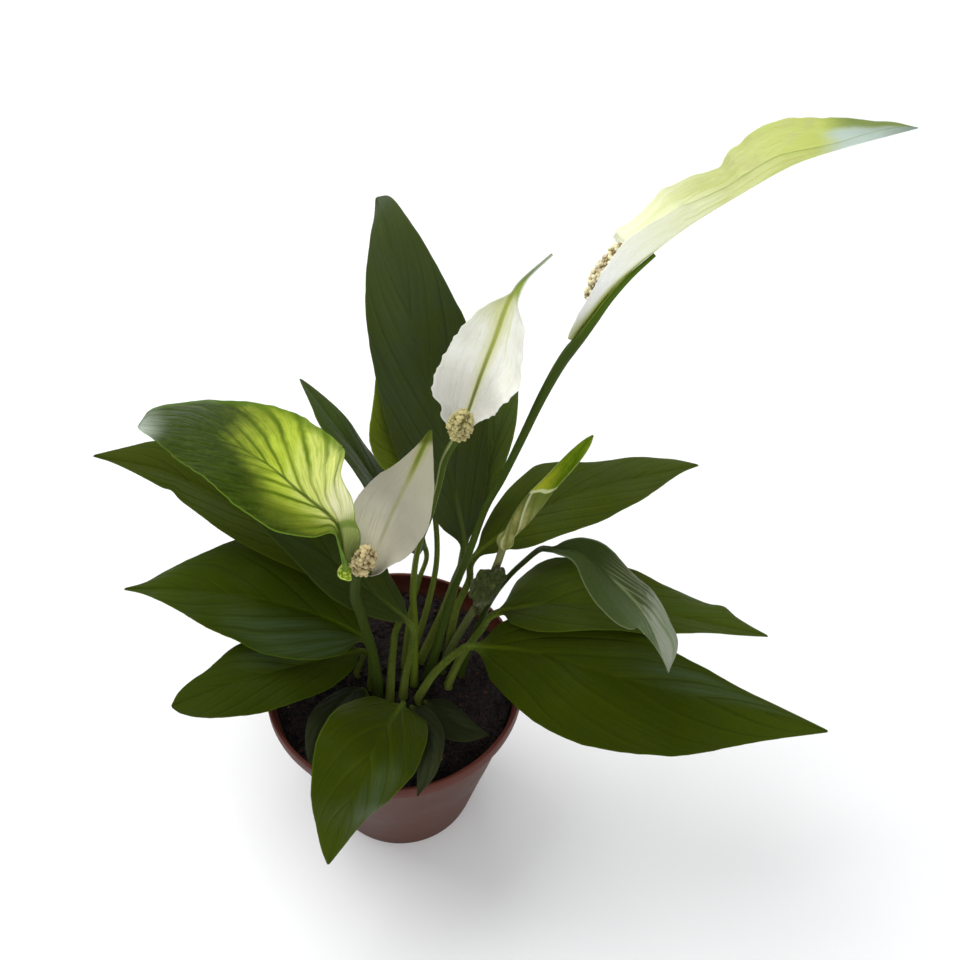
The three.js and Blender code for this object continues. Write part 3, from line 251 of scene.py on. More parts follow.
BLOOMS = {
    "front": dict(
        root=[-8, -7], stalk=[[-7, -8, 104], [-8, -10, 134], [-10, -15, 165], [-11.5, -19, 186]],
        radius=[2.5, 2.4, 2.2, 2.2], knuckle=([-13.6, -20.4, 205.5], 3.8),
        spadix=([-8.6, -23.4, 209], [-2.8, -28.4, 230], 5),
        spathes={
            "spathe_front": dict(
                rib=[[-4.5, -19.5, 207], [1, -12.5, 219], [6, -10, 232], [13, -5, 247], [21, 8, 259]],
                edges=[[[0, 6], [0.1, 12], [0.2, 15], [0.34, 16], [0.42, 15.5], [0.5, 14], [0.61, 11.5],
                    [0.69, 8.5], [0.78, 5.5], [0.89, 2.5], [1, 0.5]],
                  [[0, 9], [0.04, 15.5], [0.09, 19.5], [0.15, 19], [0.26, 18], [0.39, 18], [0.52, 18.5],
                    [0.59, 17], [0.65, 14.5], [0.71, 12], [0.77, 9], [0.9, 4], [1, 0.5]]],
                belly=0.4, taper=2.1, roll=[14, -22], curl=[80, 20], uncurl=0.4,
                wave=[0.6, 2, 0.2]),
            "spathe_front_leafy": dict(
                rib=[[-14.3, -19.4, 208.9], [-14.5, -17.5, 226], [-17, -17, 236], [-29, -12, 246],
                     [-45, 1, 250], [-71, 18, 248], [-98, 26, 242]],
                edges=[[[0, 5], [0.1, 9], [0.17, 9], [0.21, 8], [0.26, 16], [0.32, 21], [0.38, 23],
                    [0.48, 25.5], [0.61, 24], [0.79, 19], [0.87, 14], [1, 0.5]],
                  [[0, 5], [0.06, 6.5], [0.12, 8], [0.17, 7.5], [0.22, 11.5], [0.28, 16], [0.31, 25],
                    [0.36, 27.5], [0.47, 29], [0.58, 31.5], [0.65, 29], [0.72, 26], [0.78, 25], [0.86, 29],
                    [0.92, 27.5], [0.96, 24], [0.99, 16], [1, 1]]],
                belly=0.6, taper=1.7, roll=[7, -25], curl=[120, 3], uncurl=0.35,
                blunt=0.45, wave=[1.4, 3, 0.1], ripple=0.006),
        }),
    "centre": dict(
        root=[9, 1],
        stalk=[[10, 11, 122], [10, 14, 146], [13, 15, 174], [19, 13, 200], [23, 11, 222], [26, 6, 244]],
        radius=[2.2, 1.7, 1.3, 1.3, 1.8], spadix=([31, 0.2, 264], [34.5, -8, 285], 5), pitch=1.2,
        spathes={
            "spathe_centre": dict(
                rib=[[32.8, 4.5, 261.8], [37.5, 10, 276], [41, 12, 288], [46, 16, 302], [50, 20, 314],
                     [55, 23, 322], [66, 28, 331]],
                edges=[[[0, 5], [0.03, 9.5], [0.09, 11.5], [0.12, 15.6], [0.28, 16.6], [0.41, 15.6],
                    [0.55, 12], [0.64, 8.5], [0.74, 1.5], [0.8, 1], [1, 0.5]],
                  [[0, 4], [0.09, 8.6], [0.2, 15.6], [0.32, 19.9], [0.44, 24.5], [0.53, 18.9], [0.6, 15.7],
                    [0.67, 13], [0.7, 9.5], [0.73, 5.3], [0.8, 2.5], [0.86, 1.1], [1, 0.5]]],
                belly=0.3, taper=2.4, roll=[-7, -23], curl=[60, 36],
                wave=[1, 3, 0.1], ripple=0.014),
        }),
    "tall": dict(
        root=[15, 3],
        stalk=[[19, 5, 108], [27, 10, 146], [35, 8, 180], [42, 10, 208], [49, 10, 228], [56, 8, 253],
               [63.2, 3, 283], [69.6, -3, 308]],
        radius=[2.6, 2, 1.6, 1.5, 1.7, 2.1], keel=(0.3, 0.7),
        spadix=([76.8, -0.8, 335.8], [88.8, 8.7, 352.8], 4.1),
        spathes={
            "spathe_tall": dict(
                rib=[[72, -5.8, 321.5], [78.5, -5.4, 333.5], [85, -3, 343], [92, 0, 349.5], [99, 4, 353.5],
                     [111, 13, 357], [127, 21, 363], [146, 29, 370], [163, 32, 375], [189, 39, 378]],
                edges=[[[0, 3], [0.05, 11.5], [0.1, 19], [0.14, 26], [0.19, 31], [0.25, 34], [0.34, 27.5],
                    [0.39, 26], [0.44, 28.5], [0.48, 26.5], [0.53, 23.5], [0.57, 22.5], [0.61, 28],
                    [0.69, 33], [0.74, 29], [0.8, 23.5], [0.87, 20], [0.91, 15.5], [0.97, 8.5], [1, 0.5]],
                  [[0, 1.5], [0.05, 3.5], [0.12, 7], [0.16, 8.8], [0.2, 11.5], [0.25, 15], [0.35, 17],
                    [0.45, 17], [0.55, 15], [0.65, 12], [0.72, 9.8], [0.8, 9.4], [0.86, 9], [0.93, 5.5],
                    [1, 0.5]]],
                belly=0.44, taper=0.9, roll=[72, 46, 40, 37],
                curl=[60, 49], wave=[1.2, 3, 0.3], lower=0.15, ripple=0.015),
        }),
}

BUD = dict(
    root=[22, 9], stalk=[[27, 11, 106], [34, 14, 122], [42, 10, 150], [47, 4, 177], [49.6, -0.6, 196.2]],
    radius=[2, 1.6], knob=3.5, waist=3.8, knob_at=0.07, knob_reach=0.08, opens=(0.45, 0.7), thickness=0.6,
    roll=dict(
        rib=[[49.7, -0.7, 196.9], [51, -1, 203], [56, -1, 214], [62, 1, 224], [72, 7, 235], [80, 12, 243],
             [85, 17, 246]],
        left=5.2, right=5, belly=0.6, taper=1.8, roll=[-50, -40], curl=[170, 60], wave=[0.3, 2, 0.2],
        valley=0))

SHEATH = dict(
    rib=[[37.5, 7.9, 134], [41.2, 6, 151], [45, 2.4, 168], [47.8, -1.9, 185.5]],
    left=8.5, right=8, belly=0.5, taper=0.8, roll=[45, 45], curl=[70, 60], neck=3, wave=[1.6, 2.5, 0.2],
    crumple=1.5, torn=5, valley=0)

# The pot: radius and height round its wall, its floor, the bend from which an edge stays sharp, and its drain
# holes

POT_PROFILE = [
    [11, 0], [11.4, 0.6], [12, 2], [30, 2], [30.6, 1.4], [31, 0], [35.2, 0], [35.8, 0.3], [36, 1], [36.6, 3],
    [46.5, 44], [47, 45.2], [57.4, 88.6], [57.8, 90], [59.2, 90], [59.8, 90.25], [60, 90.8], [60, 94],
    [60, 97.2], [59.8, 97.8], [59.3, 98], [58.7, 98], [58.4, 97.7], [58.3, 97], [58.2, 91], [56.3, 89],
    [50, 62.9], [34.5, 4.2], [34, 4]]
POT_FLOOR = 4
POT_SIDES = 144
POT_EDGE = math.acos(0.62)
DRAINS = 6
DRAIN_RADIUS = 4
DRAIN_CIRCLE = 21.5
DRAIN_DEPTH = 20

# The soil: its radius, its foot as radius and height, how its top falls at the wall from some radius on, and
# how many waves it has; then the loose crumbs on it, a few of them larger

SOIL_RADIUS = 55.4
SOIL_FOOT = [[54.8, 84], [35, 4.6]]
SOIL_FALL = 0.8
SOIL_FALLS_FROM = 50
SOIL_RINGS = 60
SOIL_SIDES = 160
SOIL_WAVES = 60
CRUMBS = 1500
CRUMB_SIZES = (0.35, 1.1)
LARGER_SHARE = 0.06
LARGER = 1.6


# Curves and surfaces

def smooth(x, low, high):
    t = np.clip((np.asarray(x, float) - low) / (high - low), 0, 1)
    return t * t * (3 - 2 * t)


def spread(values, t):
    return np.interp(t, np.linspace(0, 1, len(values)), values)


def mix(a, b, t):
    return a + (b - a) * t


class Line:
    """A uniform Catmull-Rom curve through points, read by its share of the whole length."""

    STEPS = 60
    LOOK_AHEAD = 0.6

    def __init__(self, points):
        p = np.asarray(points, float)
        p = np.vstack([2 * p[0] - p[1], p, 2 * p[-1] - p[-2]])
        spans = len(p) - 3
        s = np.linspace(0, spans, spans * self.STEPS + 1)
        i = np.minimum(s.astype(int), spans - 1)
        w = (s - i)[:, None]
        a, b, c, d = p[i], p[i + 1], p[i + 2], p[i + 3]
        self.points = 0.5 * (2 * b + (c - a) * w + (2 * a - 5 * b + 4 * c - d) * w ** 2
                             + (3 * b - a - 3 * c + d) * w ** 3)
        self.lengths = np.r_[0, np.cumsum(np.linalg.norm(np.diff(self.points, axis=0), axis=1))]
        self.length = self.lengths[-1]

    def at(self, t):
        s = np.clip(t, 0, 1) * self.length
        return np.stack([np.interp(s, self.lengths, self.points[:, k]) for k in range(3)], -1)

    def along(self, t):
        step = self.LOOK_AHEAD / self.length
        d = self.at(np.asarray(t) + step) - self.at(np.asarray(t) - step)
        return d / np.linalg.norm(d, axis=-1, keepdims=True)

    def share(self, index):
        return self.lengths[index * self.STEPS] / self.length


def heading_of(rib):
    flat = np.subtract(rib[-1], rib[0]).astype(float)
    flat[2] = 0
    return flat / np.linalg.norm(flat)


def frames(line, t, heading, roll):
    """Points, ways along, ways to the right and upper sides, as [n, 3] arrays."""
    side = np.cross(heading, [0, 0, 1.0])
    side /= np.linalg.norm(side)
    along = line.along(t)
    right = side - (along @ side)[:, None] * along
    right /= np.linalg.norm(right, axis=1, keepdims=True)
    up = np.cross(right, along)
    cos, sin = np.cos(np.radians(roll))[:, None], np.sin(np.radians(roll))[:, None]
    return line.at(t), along, right * cos + up * sin, up * cos - right * sin


def edge_width(edge, u):
    """The half width at the stations u, smooth through an edge's [station, half width] points."""
    station, wide = np.array(edge, float).T
    k = np.arange(len(wide))
    before, after = np.maximum(k - 1, 0), np.minimum(k + 1, len(wide) - 1)
    slope = (wide[after] - wide[before]) / (station[after] - station[before])
    i = np.clip(np.searchsorted(station, u, "right") - 1, 0, len(wide) - 2)
    step = station[i + 1] - station[i]
    t = np.clip((u - station[i]) / step, 0, 1)
    return (wide[i] * (1 + 2 * t) * (1 - t) ** 2 + wide[i + 1] * t ** 2 * (3 - 2 * t)
            + step * (slope[i] * t * (1 - t) ** 2 - slope[i + 1] * t ** 2 * (1 - t)))


def outline(u, belly, taper):
    v = np.clip(u, 1e-6, 1 - 1e-6)
    return (v / belly) ** (taper * belly) * ((1 - v) / (1 - belly)) ** (taper * (1 - belly))


def half_widths(u, s, form):
    """The distance from the rib to the margin, which ripples a little and never comes down to nothing."""
    least = np.where(u < 0.5, max(form.get("neck", 0), TIP_WIDTH), TIP_WIDTH)
    if "edges" in form:
        left, right = (edge_width(edge, u) for edge in form["edges"])
    else:
        left, right = (form[side] * outline(u, form["belly"], form["taper"]) for side in ("left", "right"))
    ripple = np.sin(67 * u + 2 * s) + 0.8 * np.sin(109 * u + 4 * s + 1) + 0.5 * np.sin(173 * u)
    return np.maximum(np.where(s < 0, left, right) * (1 + form.get("ripple", RIPPLE) * ripple), least)


def surface(placed, u, s, form):
    """The middle surface of a blade at the stations u (one for each frame) and the columns s from -1 to 1."""
    point, along, right, up = (x[:, None, :] for x in placed)
    u, s = u[:, None], s[None, :]
    wide = half_widths(u, s, form)
    across = np.abs(s)
    curl_from, curl_to = form.get("curl", (0, 0))
    curl = np.radians(mix(curl_from, curl_to, np.minimum(1, u / form.get("uncurl", 1))))
    turn = np.maximum(curl * across, 1e-6)
    height, waves, phase = form["wave"]
    shape = outline(u, form["belly"], form["taper"])
    waved = np.sin(2 * np.pi * (waves * u + phase + np.where(s < 0, 0.5, 0)))
    out = np.sign(s) * wide * across * np.sin(turn) / turn
    rise = (wide * across * (1 - np.cos(turn)) / turn
            + wide * (form.get("fold", 0) * across - form.get("arch", 0) * across ** 2)
            + height * waved * across ** 2 * shape)
    back = wide * across * (form.get("lobe", 0) * (1 - u) ** 2 - form.get("blunt", 0) * u ** 6)
    grid = point + right * out[..., None] + up * rise[..., None] - along * back[..., None]
    return grid, wide * np.ones_like(s)


def normals(grid):
    n = np.cross(np.gradient(grid, axis=1), np.gradient(grid, axis=0))
    return n / np.maximum(np.linalg.norm(n, axis=-1, keepdims=True), 1e-9)


def vein_start(u, across, run=VEINS_RUN):
    """Where along the rib the side vein through a point leaves it; the veins sweep on and draw together."""
    sweep, closing, bend = run
    w = across ** bend
    return (u - w * sweep) / (1 - w * closing)


def ring_angles(count):
    """Angles round a section, with its points in the order of a blade's ring."""
    return np.pi - (np.arange(count) + 0.5) / count * 2 * np.pi


def round_rings(placed, radius, angle, breadth=1.0):
    """Sections with a radius at each angle, breadth times as wide as they are tall."""
    point, _, right, up = (x[:, None, :] for x in placed)
    sideways = radius * np.cos(angle) * breadth
    return point + right * sideways[..., None] + up * (radius * np.sin(angle))[..., None]


def crumpled(u, s):
    """Uneven folds of a dried blade, from -1 to 1."""
    return (0.5 * np.sin(13 * u + 4 * s + 1) * np.cos(5 * s - 3 * u) + 0.3 * np.sin(29 * u - 7 * s)
            + 0.2 * np.sin(11 * s + 41 * u + 2))


def ragged(s):
    """How far back the torn ends of a dried blade reach across it."""
    return np.abs(s + 0.25) * 1.3 + 0.5 * np.sin(9 * s + 1) ** 2 + 0.2 * np.sin(31 * s)


def blade_rings(placed, u, form, keel):
    """Closed rings over both faces of a blade, with rib, side veins and a thin margin."""
    s = COLUMNS
    grid, wide = surface(placed, u, s, form)
    normal = normals(grid)
    away = np.abs(s)[None, :] * wide
    uu, ss = u[:, None], s[None, :]
    start = vein_start(uu, np.abs(ss))
    relief = form.get("relief", 0.0) * smooth(np.abs(ss), 0.02, 0.25) * (1 - np.abs(ss) ** 4)
    relief = relief * smooth(start, -0.45, 0.0) * smooth(uu, 0, 0.12) * np.clip(1 - uu, 0, 1) ** 0.5
    veins = np.abs(np.sin(np.pi * form.get("veins", 0) * start)) - VEIN_LEVEL
    grid = grid + normal * (relief * veins)[..., None]
    if "crumple" in form:
        grid = grid + normal * (form["crumple"] * crumpled(uu, ss))[..., None]
    rib = mix(*VALLEY_WIDTHS, u)[:, None]
    valley = form.get("valley", VALLEY) * np.exp(-(away / rib) ** 2)
    keel = np.asarray(keel)[:, None]
    ridge = keel * np.sqrt(np.clip(1 - (away / np.maximum(1.15 * keel, 0.3)) ** 2, 0, 1))
    half = 0.5 * form.get("thickness", BLADE_THICKNESS) * (1 - MARGIN_THINNING * np.abs(ss) ** 6)
    upper = grid + normal * (half - valley)[..., None]
    lower = grid - normal * (half + np.maximum(ridge - 0.5 * half, 0))[..., None]
    one = np.ones_like(wide)
    columns = ss * one
    pairs = ((upper, lower), (columns, columns), (one, -one), (wide, wide))
    return [np.concatenate([above, below[:, ::-1]], axis=1) for above, below in pairs]


# Meshes

def mesh_piece(name, vertices, faces, fields=None):
    """A smooth-shaded mesh object from millimetres; fields holds its named values per vertex."""
    mesh = bpy.data.meshes.new(name)
    mesh.from_pydata((np.asarray(vertices) * MM).tolist(), [], faces)
    for key, values in (fields or {}).items():
        values = np.asarray(values, float)
        kind, word = ("FLOAT_VECTOR", "vector") if values.ndim == 2 else ("FLOAT", "value")
        mesh.attributes.new(key, kind, "POINT").data.foreach_set(word, values.ravel())
    mesh.polygons.foreach_set("use_smooth", [True] * len(mesh.polygons))
    mesh.validate()
    piece = bpy.data.objects.new(name, mesh)
    bpy.context.scene.collection.objects.link(piece)
    return piece


def ring_faces(rings, count, start=0):
    faces = []
    for i in range(rings - 1):
        a, b = start + i * count, start + (i + 1) * count
        faces += [(a + j, a + (j + 1) % count, b + (j + 1) % count, b + j) for j in range(count)]
    return faces


def end_faces(first, count, flip):
    """Strips that close a ring across, from its upper points to its lower ones."""
    half = count // 2
    faces = []
    for j in range(half - 1):
        under = count - 1 - j
        quad = (first + j, first + under, first + under - 1, first + j + 1)
        faces.append(quad[::-1] if flip else quad)
    return faces


def tube_faces(rings, count):
    """The faces of a tube of rings, closed at both ends."""
    ends = end_faces(0, count, False) + end_faces((rings - 1) * count, count, True)
    return ring_faces(rings, count) + ends


def skin(name, rings, fields):
    """The mesh piece of closed rings, with fields of one value or three for each of their points."""
    flat = {k: v.reshape(-1, 3) if v.ndim == 3 else v.ravel() for k, v in fields.items()}
    return mesh_piece(name, rings.reshape(-1, 3), tube_faces(*rings.shape[:2]), flat)


def stands_for(piece, node):
    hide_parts(node)
    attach(piece, "root")


def buried(root):
    """The foot of a stem, which stands straight in the soil and just above it."""
    return [[*root, SOIL_LEVEL + up] for up in (GAP - ROOT_DEPTH, 0, STRAIGHT_ABOVE_SOIL)]


def leaf_piece(name, leaf):
    """A petiole with a groove on top, which opens into a blade."""
    below = buried(leaf["root"]) + leaf["stem"]
    line = Line(below + leaf["rib"])
    joint = line.share(len(below))
    stem_t = np.linspace(0, joint, STEM_RINGS, endpoint=False)
    blade_t = mix(joint, 1, np.linspace(0, 1, BLADE_RINGS) ** BLADE_CROWDING)
    t = np.r_[stem_t, blade_t]
    u = np.clip((t - joint) / (1 - joint), 0, 1)
    placed = frames(line, t, heading_of(leaf["rib"]), spread(leaf["roll"], u))
    radius = PETIOLE_SHARE * leaf.get("petiole", PETIOLE_RADIUS)
    keel = PETIOLE_BREADTH * radius * (1 - u) ** RIB_TAPER
    flat, across, face, widths = blade_rings(placed, u, leaf, keel)
    angle = ring_angles(flat.shape[1])
    groove = 1 - PETIOLE_GROOVE * np.exp(-((angle - np.pi / 2) / GROOVE_ANGLE) ** 2)
    size = radius * mix(PETIOLE_FLARE, 1, smooth(t, 0, FLARE_ENDS * joint))
    petiole = round_rings(placed, size[:, None] * groove, angle, PETIOLE_BREADTH)
    opened = smooth(u, *BLADE_OPENS)
    opened[:STEM_RINGS + 1] = 0
    rings = mix(petiole, flat, opened[:, None, None])
    place = np.where(t < joint, t / joint - 1, u)[:, None] * np.ones(len(angle))
    return skin(name, rings, {"blade": np.stack([place, across, face], -1), "wide": widths})


def spathe_piece(name, form, keel=0.3):
    """A blade without a petiole, torn at both ends or lowered a little if its form says so."""
    u = np.linspace(0, 1, BLADE_RINGS)
    placed = frames(Line(form["rib"]), u, heading_of(form["rib"]), spread(form["roll"], u))
    shape, across, face, widths = blade_rings(placed, u, form, keel * (1 - u))
    if "torn" in form:
        ends = smooth(u, 0.45, 1) - smooth(u, 0.4, 0)
        shape = shape - placed[1][:, None, :] * (form["torn"] * ragged(across) * ends[:, None])[..., None]
    shape[..., 2] -= form.get("lower", 0)
    place = u[:, None] * np.ones(shape.shape[1])
    return skin(name, shape, {"blade": np.stack([place, across, face], -1), "wide": widths})


def knuckle_points(centre, radius):
    """An uneven ball, ring by ring."""
    theta = np.linspace(0.02, np.pi - 0.02, KNUCKLE_RINGS)[:, None]
    phi = np.arange(STALK_SIDES)[None, :] / STALK_SIDES * 2 * np.pi
    r = radius * (1 + 0.05 * np.sin(3 * phi + 2 * theta) + 0.03 * np.sin(5 * theta))
    flat = r * np.sin(theta)
    ball = np.stack([flat * np.cos(phi), flat * np.sin(phi), r * np.cos(theta) * np.ones_like(phi)], -1)
    return (ball + np.asarray(centre)).reshape(-1, 3)


def stalk_piece(name, points, radii, knuckle=None):
    t = np.linspace(0, 1, BLADE_RINGS)
    placed = frames(Line(points), t, np.array([0, 1.0, 0]), 0 * t)
    rings = round_rings(placed, spread(radii, t)[:, None], ring_angles(STALK_SIDES))
    vertices = rings.reshape(-1, 3)
    faces = tube_faces(BLADE_RINGS, STALK_SIDES)
    angle = np.tile(np.arange(STALK_SIDES) / STALK_SIDES, (BLADE_RINGS, 1))
    place = np.stack([t[:, None] * np.ones(STALK_SIDES), angle, np.zeros_like(angle)], -1).reshape(-1, 3)
    if knuckle:
        first = len(vertices)
        last = first + (KNUCKLE_RINGS - 1) * STALK_SIDES
        vertices = np.vstack([vertices, knuckle_points(*knuckle)])
        faces += ring_faces(KNUCKLE_RINGS, STALK_SIDES, first)
        faces += [tuple(range(first, first + STALK_SIDES)), tuple(range(last, last + STALK_SIDES))[::-1]]
        place = np.vstack([place, np.tile([1.0, 0, 1], (KNUCKLE_RINGS * STALK_SIDES, 1))])
    return mesh_piece(name, vertices, faces, {"stalk": place})


def keel_points(form, reach, radius, first):
    """Points of a stalk that runs on, from its radius first, under a spathe to the share reach of its rib."""
    share = np.array([0.1, 0.3, 0.5, 0.75, 1])
    u = share * reach
    point, _, _, up = frames(Line(form["rib"]), u, heading_of(form["rib"]), spread(form["roll"], u))
    stalk = mix(first, radius, share)
    return (point - up * (stalk + SPATHE_THICKNESS / 2 + KEEL_CLEARANCE)[:, None]).tolist()


def spadix_piece(name, foot, tip, radius, seed, pitch=FLORET_PITCH):
    """A club covered with small uneven florets in a spiral."""
    rng = np.random.default_rng(seed)
    foot, tip = np.asarray(foot, float), np.asarray(tip, float)
    axis = tip - foot
    length = np.linalg.norm(axis)
    axis /= length
    side = np.cross(axis, [0.3, 0.2, 1])
    side /= np.linalg.norm(side)
    other = np.cross(axis, side)

    def body(t):
        past = np.clip(t - SPADIX_WIDEST, 0, None) / (1.01 - SPADIX_WIDEST)
        slim = mix(SPADIX_FOOT, 1, smooth(t, 0, SPADIX_WIDEST))
        return SPADIX_CORE * radius * np.sqrt(np.clip(1 - past ** 2, 0, 1)) * slim

    t = np.linspace(0, 1, SPADIX_RINGS) ** 0.97
    angle = np.arange(SPADIX_SIDES) / SPADIX_SIDES * 2 * np.pi
    fine = np.linspace(0, 1, 2000)
    area = np.cumsum(2 * np.pi * body(fine)) * length / len(fine)
    total = int(area[-1] / (pitch ** 2 * FLORET_PACKING))
    at = np.interp((np.arange(total) + 0.5) / total * area[-1], area, fine)
    turn = (np.arange(total) * GOLDEN_ANGLE) % (2 * np.pi)
    tall = rng.uniform(*FLORET_SIZES, total)
    lean = rng.normal(0, FLORET_SHIFT, (total, 2))
    around = np.abs((angle[None, :, None] - turn[None, None, :] + np.pi) % (2 * np.pi) - np.pi)
    across = around * body(t)[:, None, None] + lean[:, 0]
    up = (t[:, None, None] - at[None, None, :]) * length + lean[:, 1]
    far = np.sqrt(across ** 2 + up ** 2) / (FLORET_REACH * pitch)
    dome = np.sqrt(np.clip(1 - far ** 2, 0, 1)) * tall
    best = dome.max(-1)
    which = rng.uniform(0, 1, total)[dome.argmax(-1)]
    r = np.maximum(body(t)[:, None] + FLORET_HEIGHT * best - FLORET_SEAT, 0.15)
    points = ((foot + axis * (t * (length - 0.4))[:, None])[:, None, :]
              + side * (r * np.cos(angle))[..., None] + other * (r * np.sin(angle))[..., None])
    last = (SPADIX_RINGS - 1) * SPADIX_SIDES
    faces = ring_faces(SPADIX_RINGS, SPADIX_SIDES)
    faces += [tuple(range(SPADIX_SIDES))[::-1], tuple(range(last, last + SPADIX_SIDES))]
    field = np.stack([best, which, t[:, None] * np.ones(SPADIX_SIDES)], -1).reshape(-1, 3)
    return mesh_piece(name, points.reshape(-1, 3), faces, {"floret": field})


def bud_piece(name, bud):
    """A rolled spathe: round with an overlapping turn from its knob on, opening into a hood."""
    form = dict(bud["roll"], thickness=bud["thickness"])
    u = BUD_STATIONS
    placed = frames(Line(form["rib"]), u, heading_of(form["rib"]), spread(form["roll"], u))
    shape, across, face, _ = blade_rings(placed, u, form, 0 * u)
    shape = shape - placed[3][:, None, :] * (2 * bud["waist"] * (1 - u))[:, None, None]
    angle = ring_angles(shape.shape[1])
    ball = bud["knob"] * np.sqrt(np.clip(1 - ((u - bud["knob_at"]) / bud["knob_reach"]) ** 2, 0.3, 1))
    neck = bud["waist"] * np.minimum(1, 0.8 + u) * mix(0.7, 1, smooth(u, 0.14, 0.36))
    wound = np.cos(angle[None, :] - 6 * u[:, None] - 0.5)
    uneven = 1 + 0.08 * smooth(wound, 0.55, 0.72) + 0.03 * np.sin(7 * angle[None, :] - 9 * u[:, None])
    tube = round_rings(placed, np.maximum(ball, neck)[:, None] * uneven, angle)
    rings = mix(tube, shape, smooth(u, *bud["opens"])[:, None, None])
    ones = np.ones_like(wound)
    field = np.stack([u[:, None] * ones, across, face], -1)
    return skin(name, rings, {"blade": field, "turn": angle / (2 * np.pi) * ones, "wound": wound})


# Pieces

def circle(radius, height, sides):
    a = np.arange(sides) / sides * 2 * np.pi
    return np.stack([radius * np.cos(a), radius * np.sin(a), height + np.zeros(sides)], -1)


def drill(pot, x, y):
    """Cuts one drain hole through the floor of the pot."""
    bpy.ops.mesh.primitive_cylinder_add(vertices=32, radius=DRAIN_RADIUS * MM, depth=DRAIN_DEPTH * MM,
                                        location=(x * MM, y * MM, 0))
    bit = bpy.context.object
    cut = pot.modifiers.new("cut", "BOOLEAN")
    cut.operation = "DIFFERENCE"
    cut.solver = "EXACT"
    cut.object = bit
    bpy.context.view_layer.update()
    done = bpy.data.meshes.new_from_object(pot.evaluated_get(bpy.context.evaluated_depsgraph_get()))
    pot.modifiers.clear()
    pot.data = done
    bpy.data.objects.remove(bit)


def build_pot():
    rings = np.array([circle(r, z, POT_SIDES) for r, z in POT_PROFILE])
    n = len(rings)
    vertices = np.vstack([rings.reshape(-1, 3), [[0, 0, 0], [0, 0, POT_FLOOR]]])
    under, over = n * POT_SIDES, n * POT_SIDES + 1
    last = (n - 1) * POT_SIDES
    faces = ring_faces(n, POT_SIDES)
    faces += [(j, under, (j + 1) % POT_SIDES) for j in range(POT_SIDES)]
    faces += [(last + (j + 1) % POT_SIDES, over, last + j) for j in range(POT_SIDES)]
    pot = mesh_piece("pot_body", vertices, faces)
    for i in range(DRAINS):
        a = 2 * math.pi * (i + 0.5) / DRAINS
        drill(pot, DRAIN_CIRCLE * math.cos(a), DRAIN_CIRCLE * math.sin(a))
    pot.data.polygons.foreach_set("use_smooth", [True] * len(pot.data.polygons))
    pot.data.set_sharp_from_angle(angle=POT_EDGE)
    return pot


def build_soil():
    """A block with a bumpy top that falls off at the wall, and small crumbs strewn over it."""
    rng = np.random.default_rng(7)
    waves = [[rng.uniform(0.2, 2.6), *rng.uniform(0, 2 * np.pi, 2)] for _ in range(SOIL_WAVES)]

    def height(x, y):
        z = 0.7 * np.sin(0.11 * x + 1) * np.cos(0.13 * y) - 0.2
        for k, a, b in waves:
            z = z + (0.32 / (0.5 + k)) * 0.55 * np.sin(k * (x * np.cos(a) + y * np.sin(a)) + b)
        return z

    vertices = [[0, 0, SOIL_LEVEL + float(height(0, 0))]]
    for i in range(1, SOIL_RINGS + 1):
        r = SOIL_RADIUS * (i / SOIL_RINGS)
        ring = circle(r, 0, SOIL_SIDES)
        fall = SOIL_FALL * smooth(r, SOIL_FALLS_FROM, SOIL_RADIUS)
        ring[:, 2] = SOIL_LEVEL + height(ring[:, 0], ring[:, 1]) - fall
        vertices += ring.tolist()
    for r, z in SOIL_FOOT:
        vertices += circle(r, z, SOIL_SIDES).tolist()
    rings = SOIL_RINGS + len(SOIL_FOOT)
    faces = [(0, 1 + j, 1 + (j + 1) % SOIL_SIDES) for j in range(SOIL_SIDES)]
    faces += ring_faces(rings, SOIL_SIDES, 1)
    faces.append(tuple(range(1 + (rings - 1) * SOIL_SIDES, 1 + rings * SOIL_SIDES))[::-1])
    tint = [0.5] * len(vertices)
    corners = np.array([[1, 0, 0], [-1, 0, 0], [0, 1, 0], [0, -1, 0], [0, 0, 1], [0, 0, -1]], float)
    sides = [(0, 2, 4), (2, 1, 4), (1, 3, 4), (3, 0, 4), (2, 0, 5), (1, 2, 5), (3, 1, 5), (0, 3, 5)]
    for _ in range(CRUMBS):
        r, turn = (SOIL_RADIUS - 0.4) * math.sqrt(rng.uniform()), rng.uniform(0, 2 * math.pi)
        x, y = r * math.cos(turn), r * math.sin(turn)
        size = rng.uniform(*CRUMB_SIZES) * (LARGER if rng.uniform() < LARGER_SHARE else 1)
        if math.hypot(x, y) + size > SOIL_RADIUS:
            continue
        stretch = rng.uniform(0.6, 1.5, 3) * [1, rng.choice([1, 2.2], p=[0.8, 0.2]), 0.8]
        spin, _ = np.linalg.qr(rng.normal(size=(3, 3)))
        shape = (corners * stretch * size * rng.uniform(0.75, 1.2, (6, 1))) @ spin
        start = len(vertices)
        vertices += (shape + [x, y, SOIL_LEVEL + float(height(x, y)) + 0.25 * size]).tolist()
        faces += [tuple(start + c for c in side) for side in sides]
        tint += [float(rng.uniform())] * 6
    return mesh_piece("soil_surface", vertices, faces, {"crumb": tint})


# Materials

def rgb(r, g, b):
    """A colour on sockets from its values on a screen, 0 to 255."""
    def line(c):
        c /= 255
        return c / 12.92 if c <= 0.04045 else ((c + 0.055) / 1.055) ** 2.4
    return (line(r), line(g), line(b), 1)


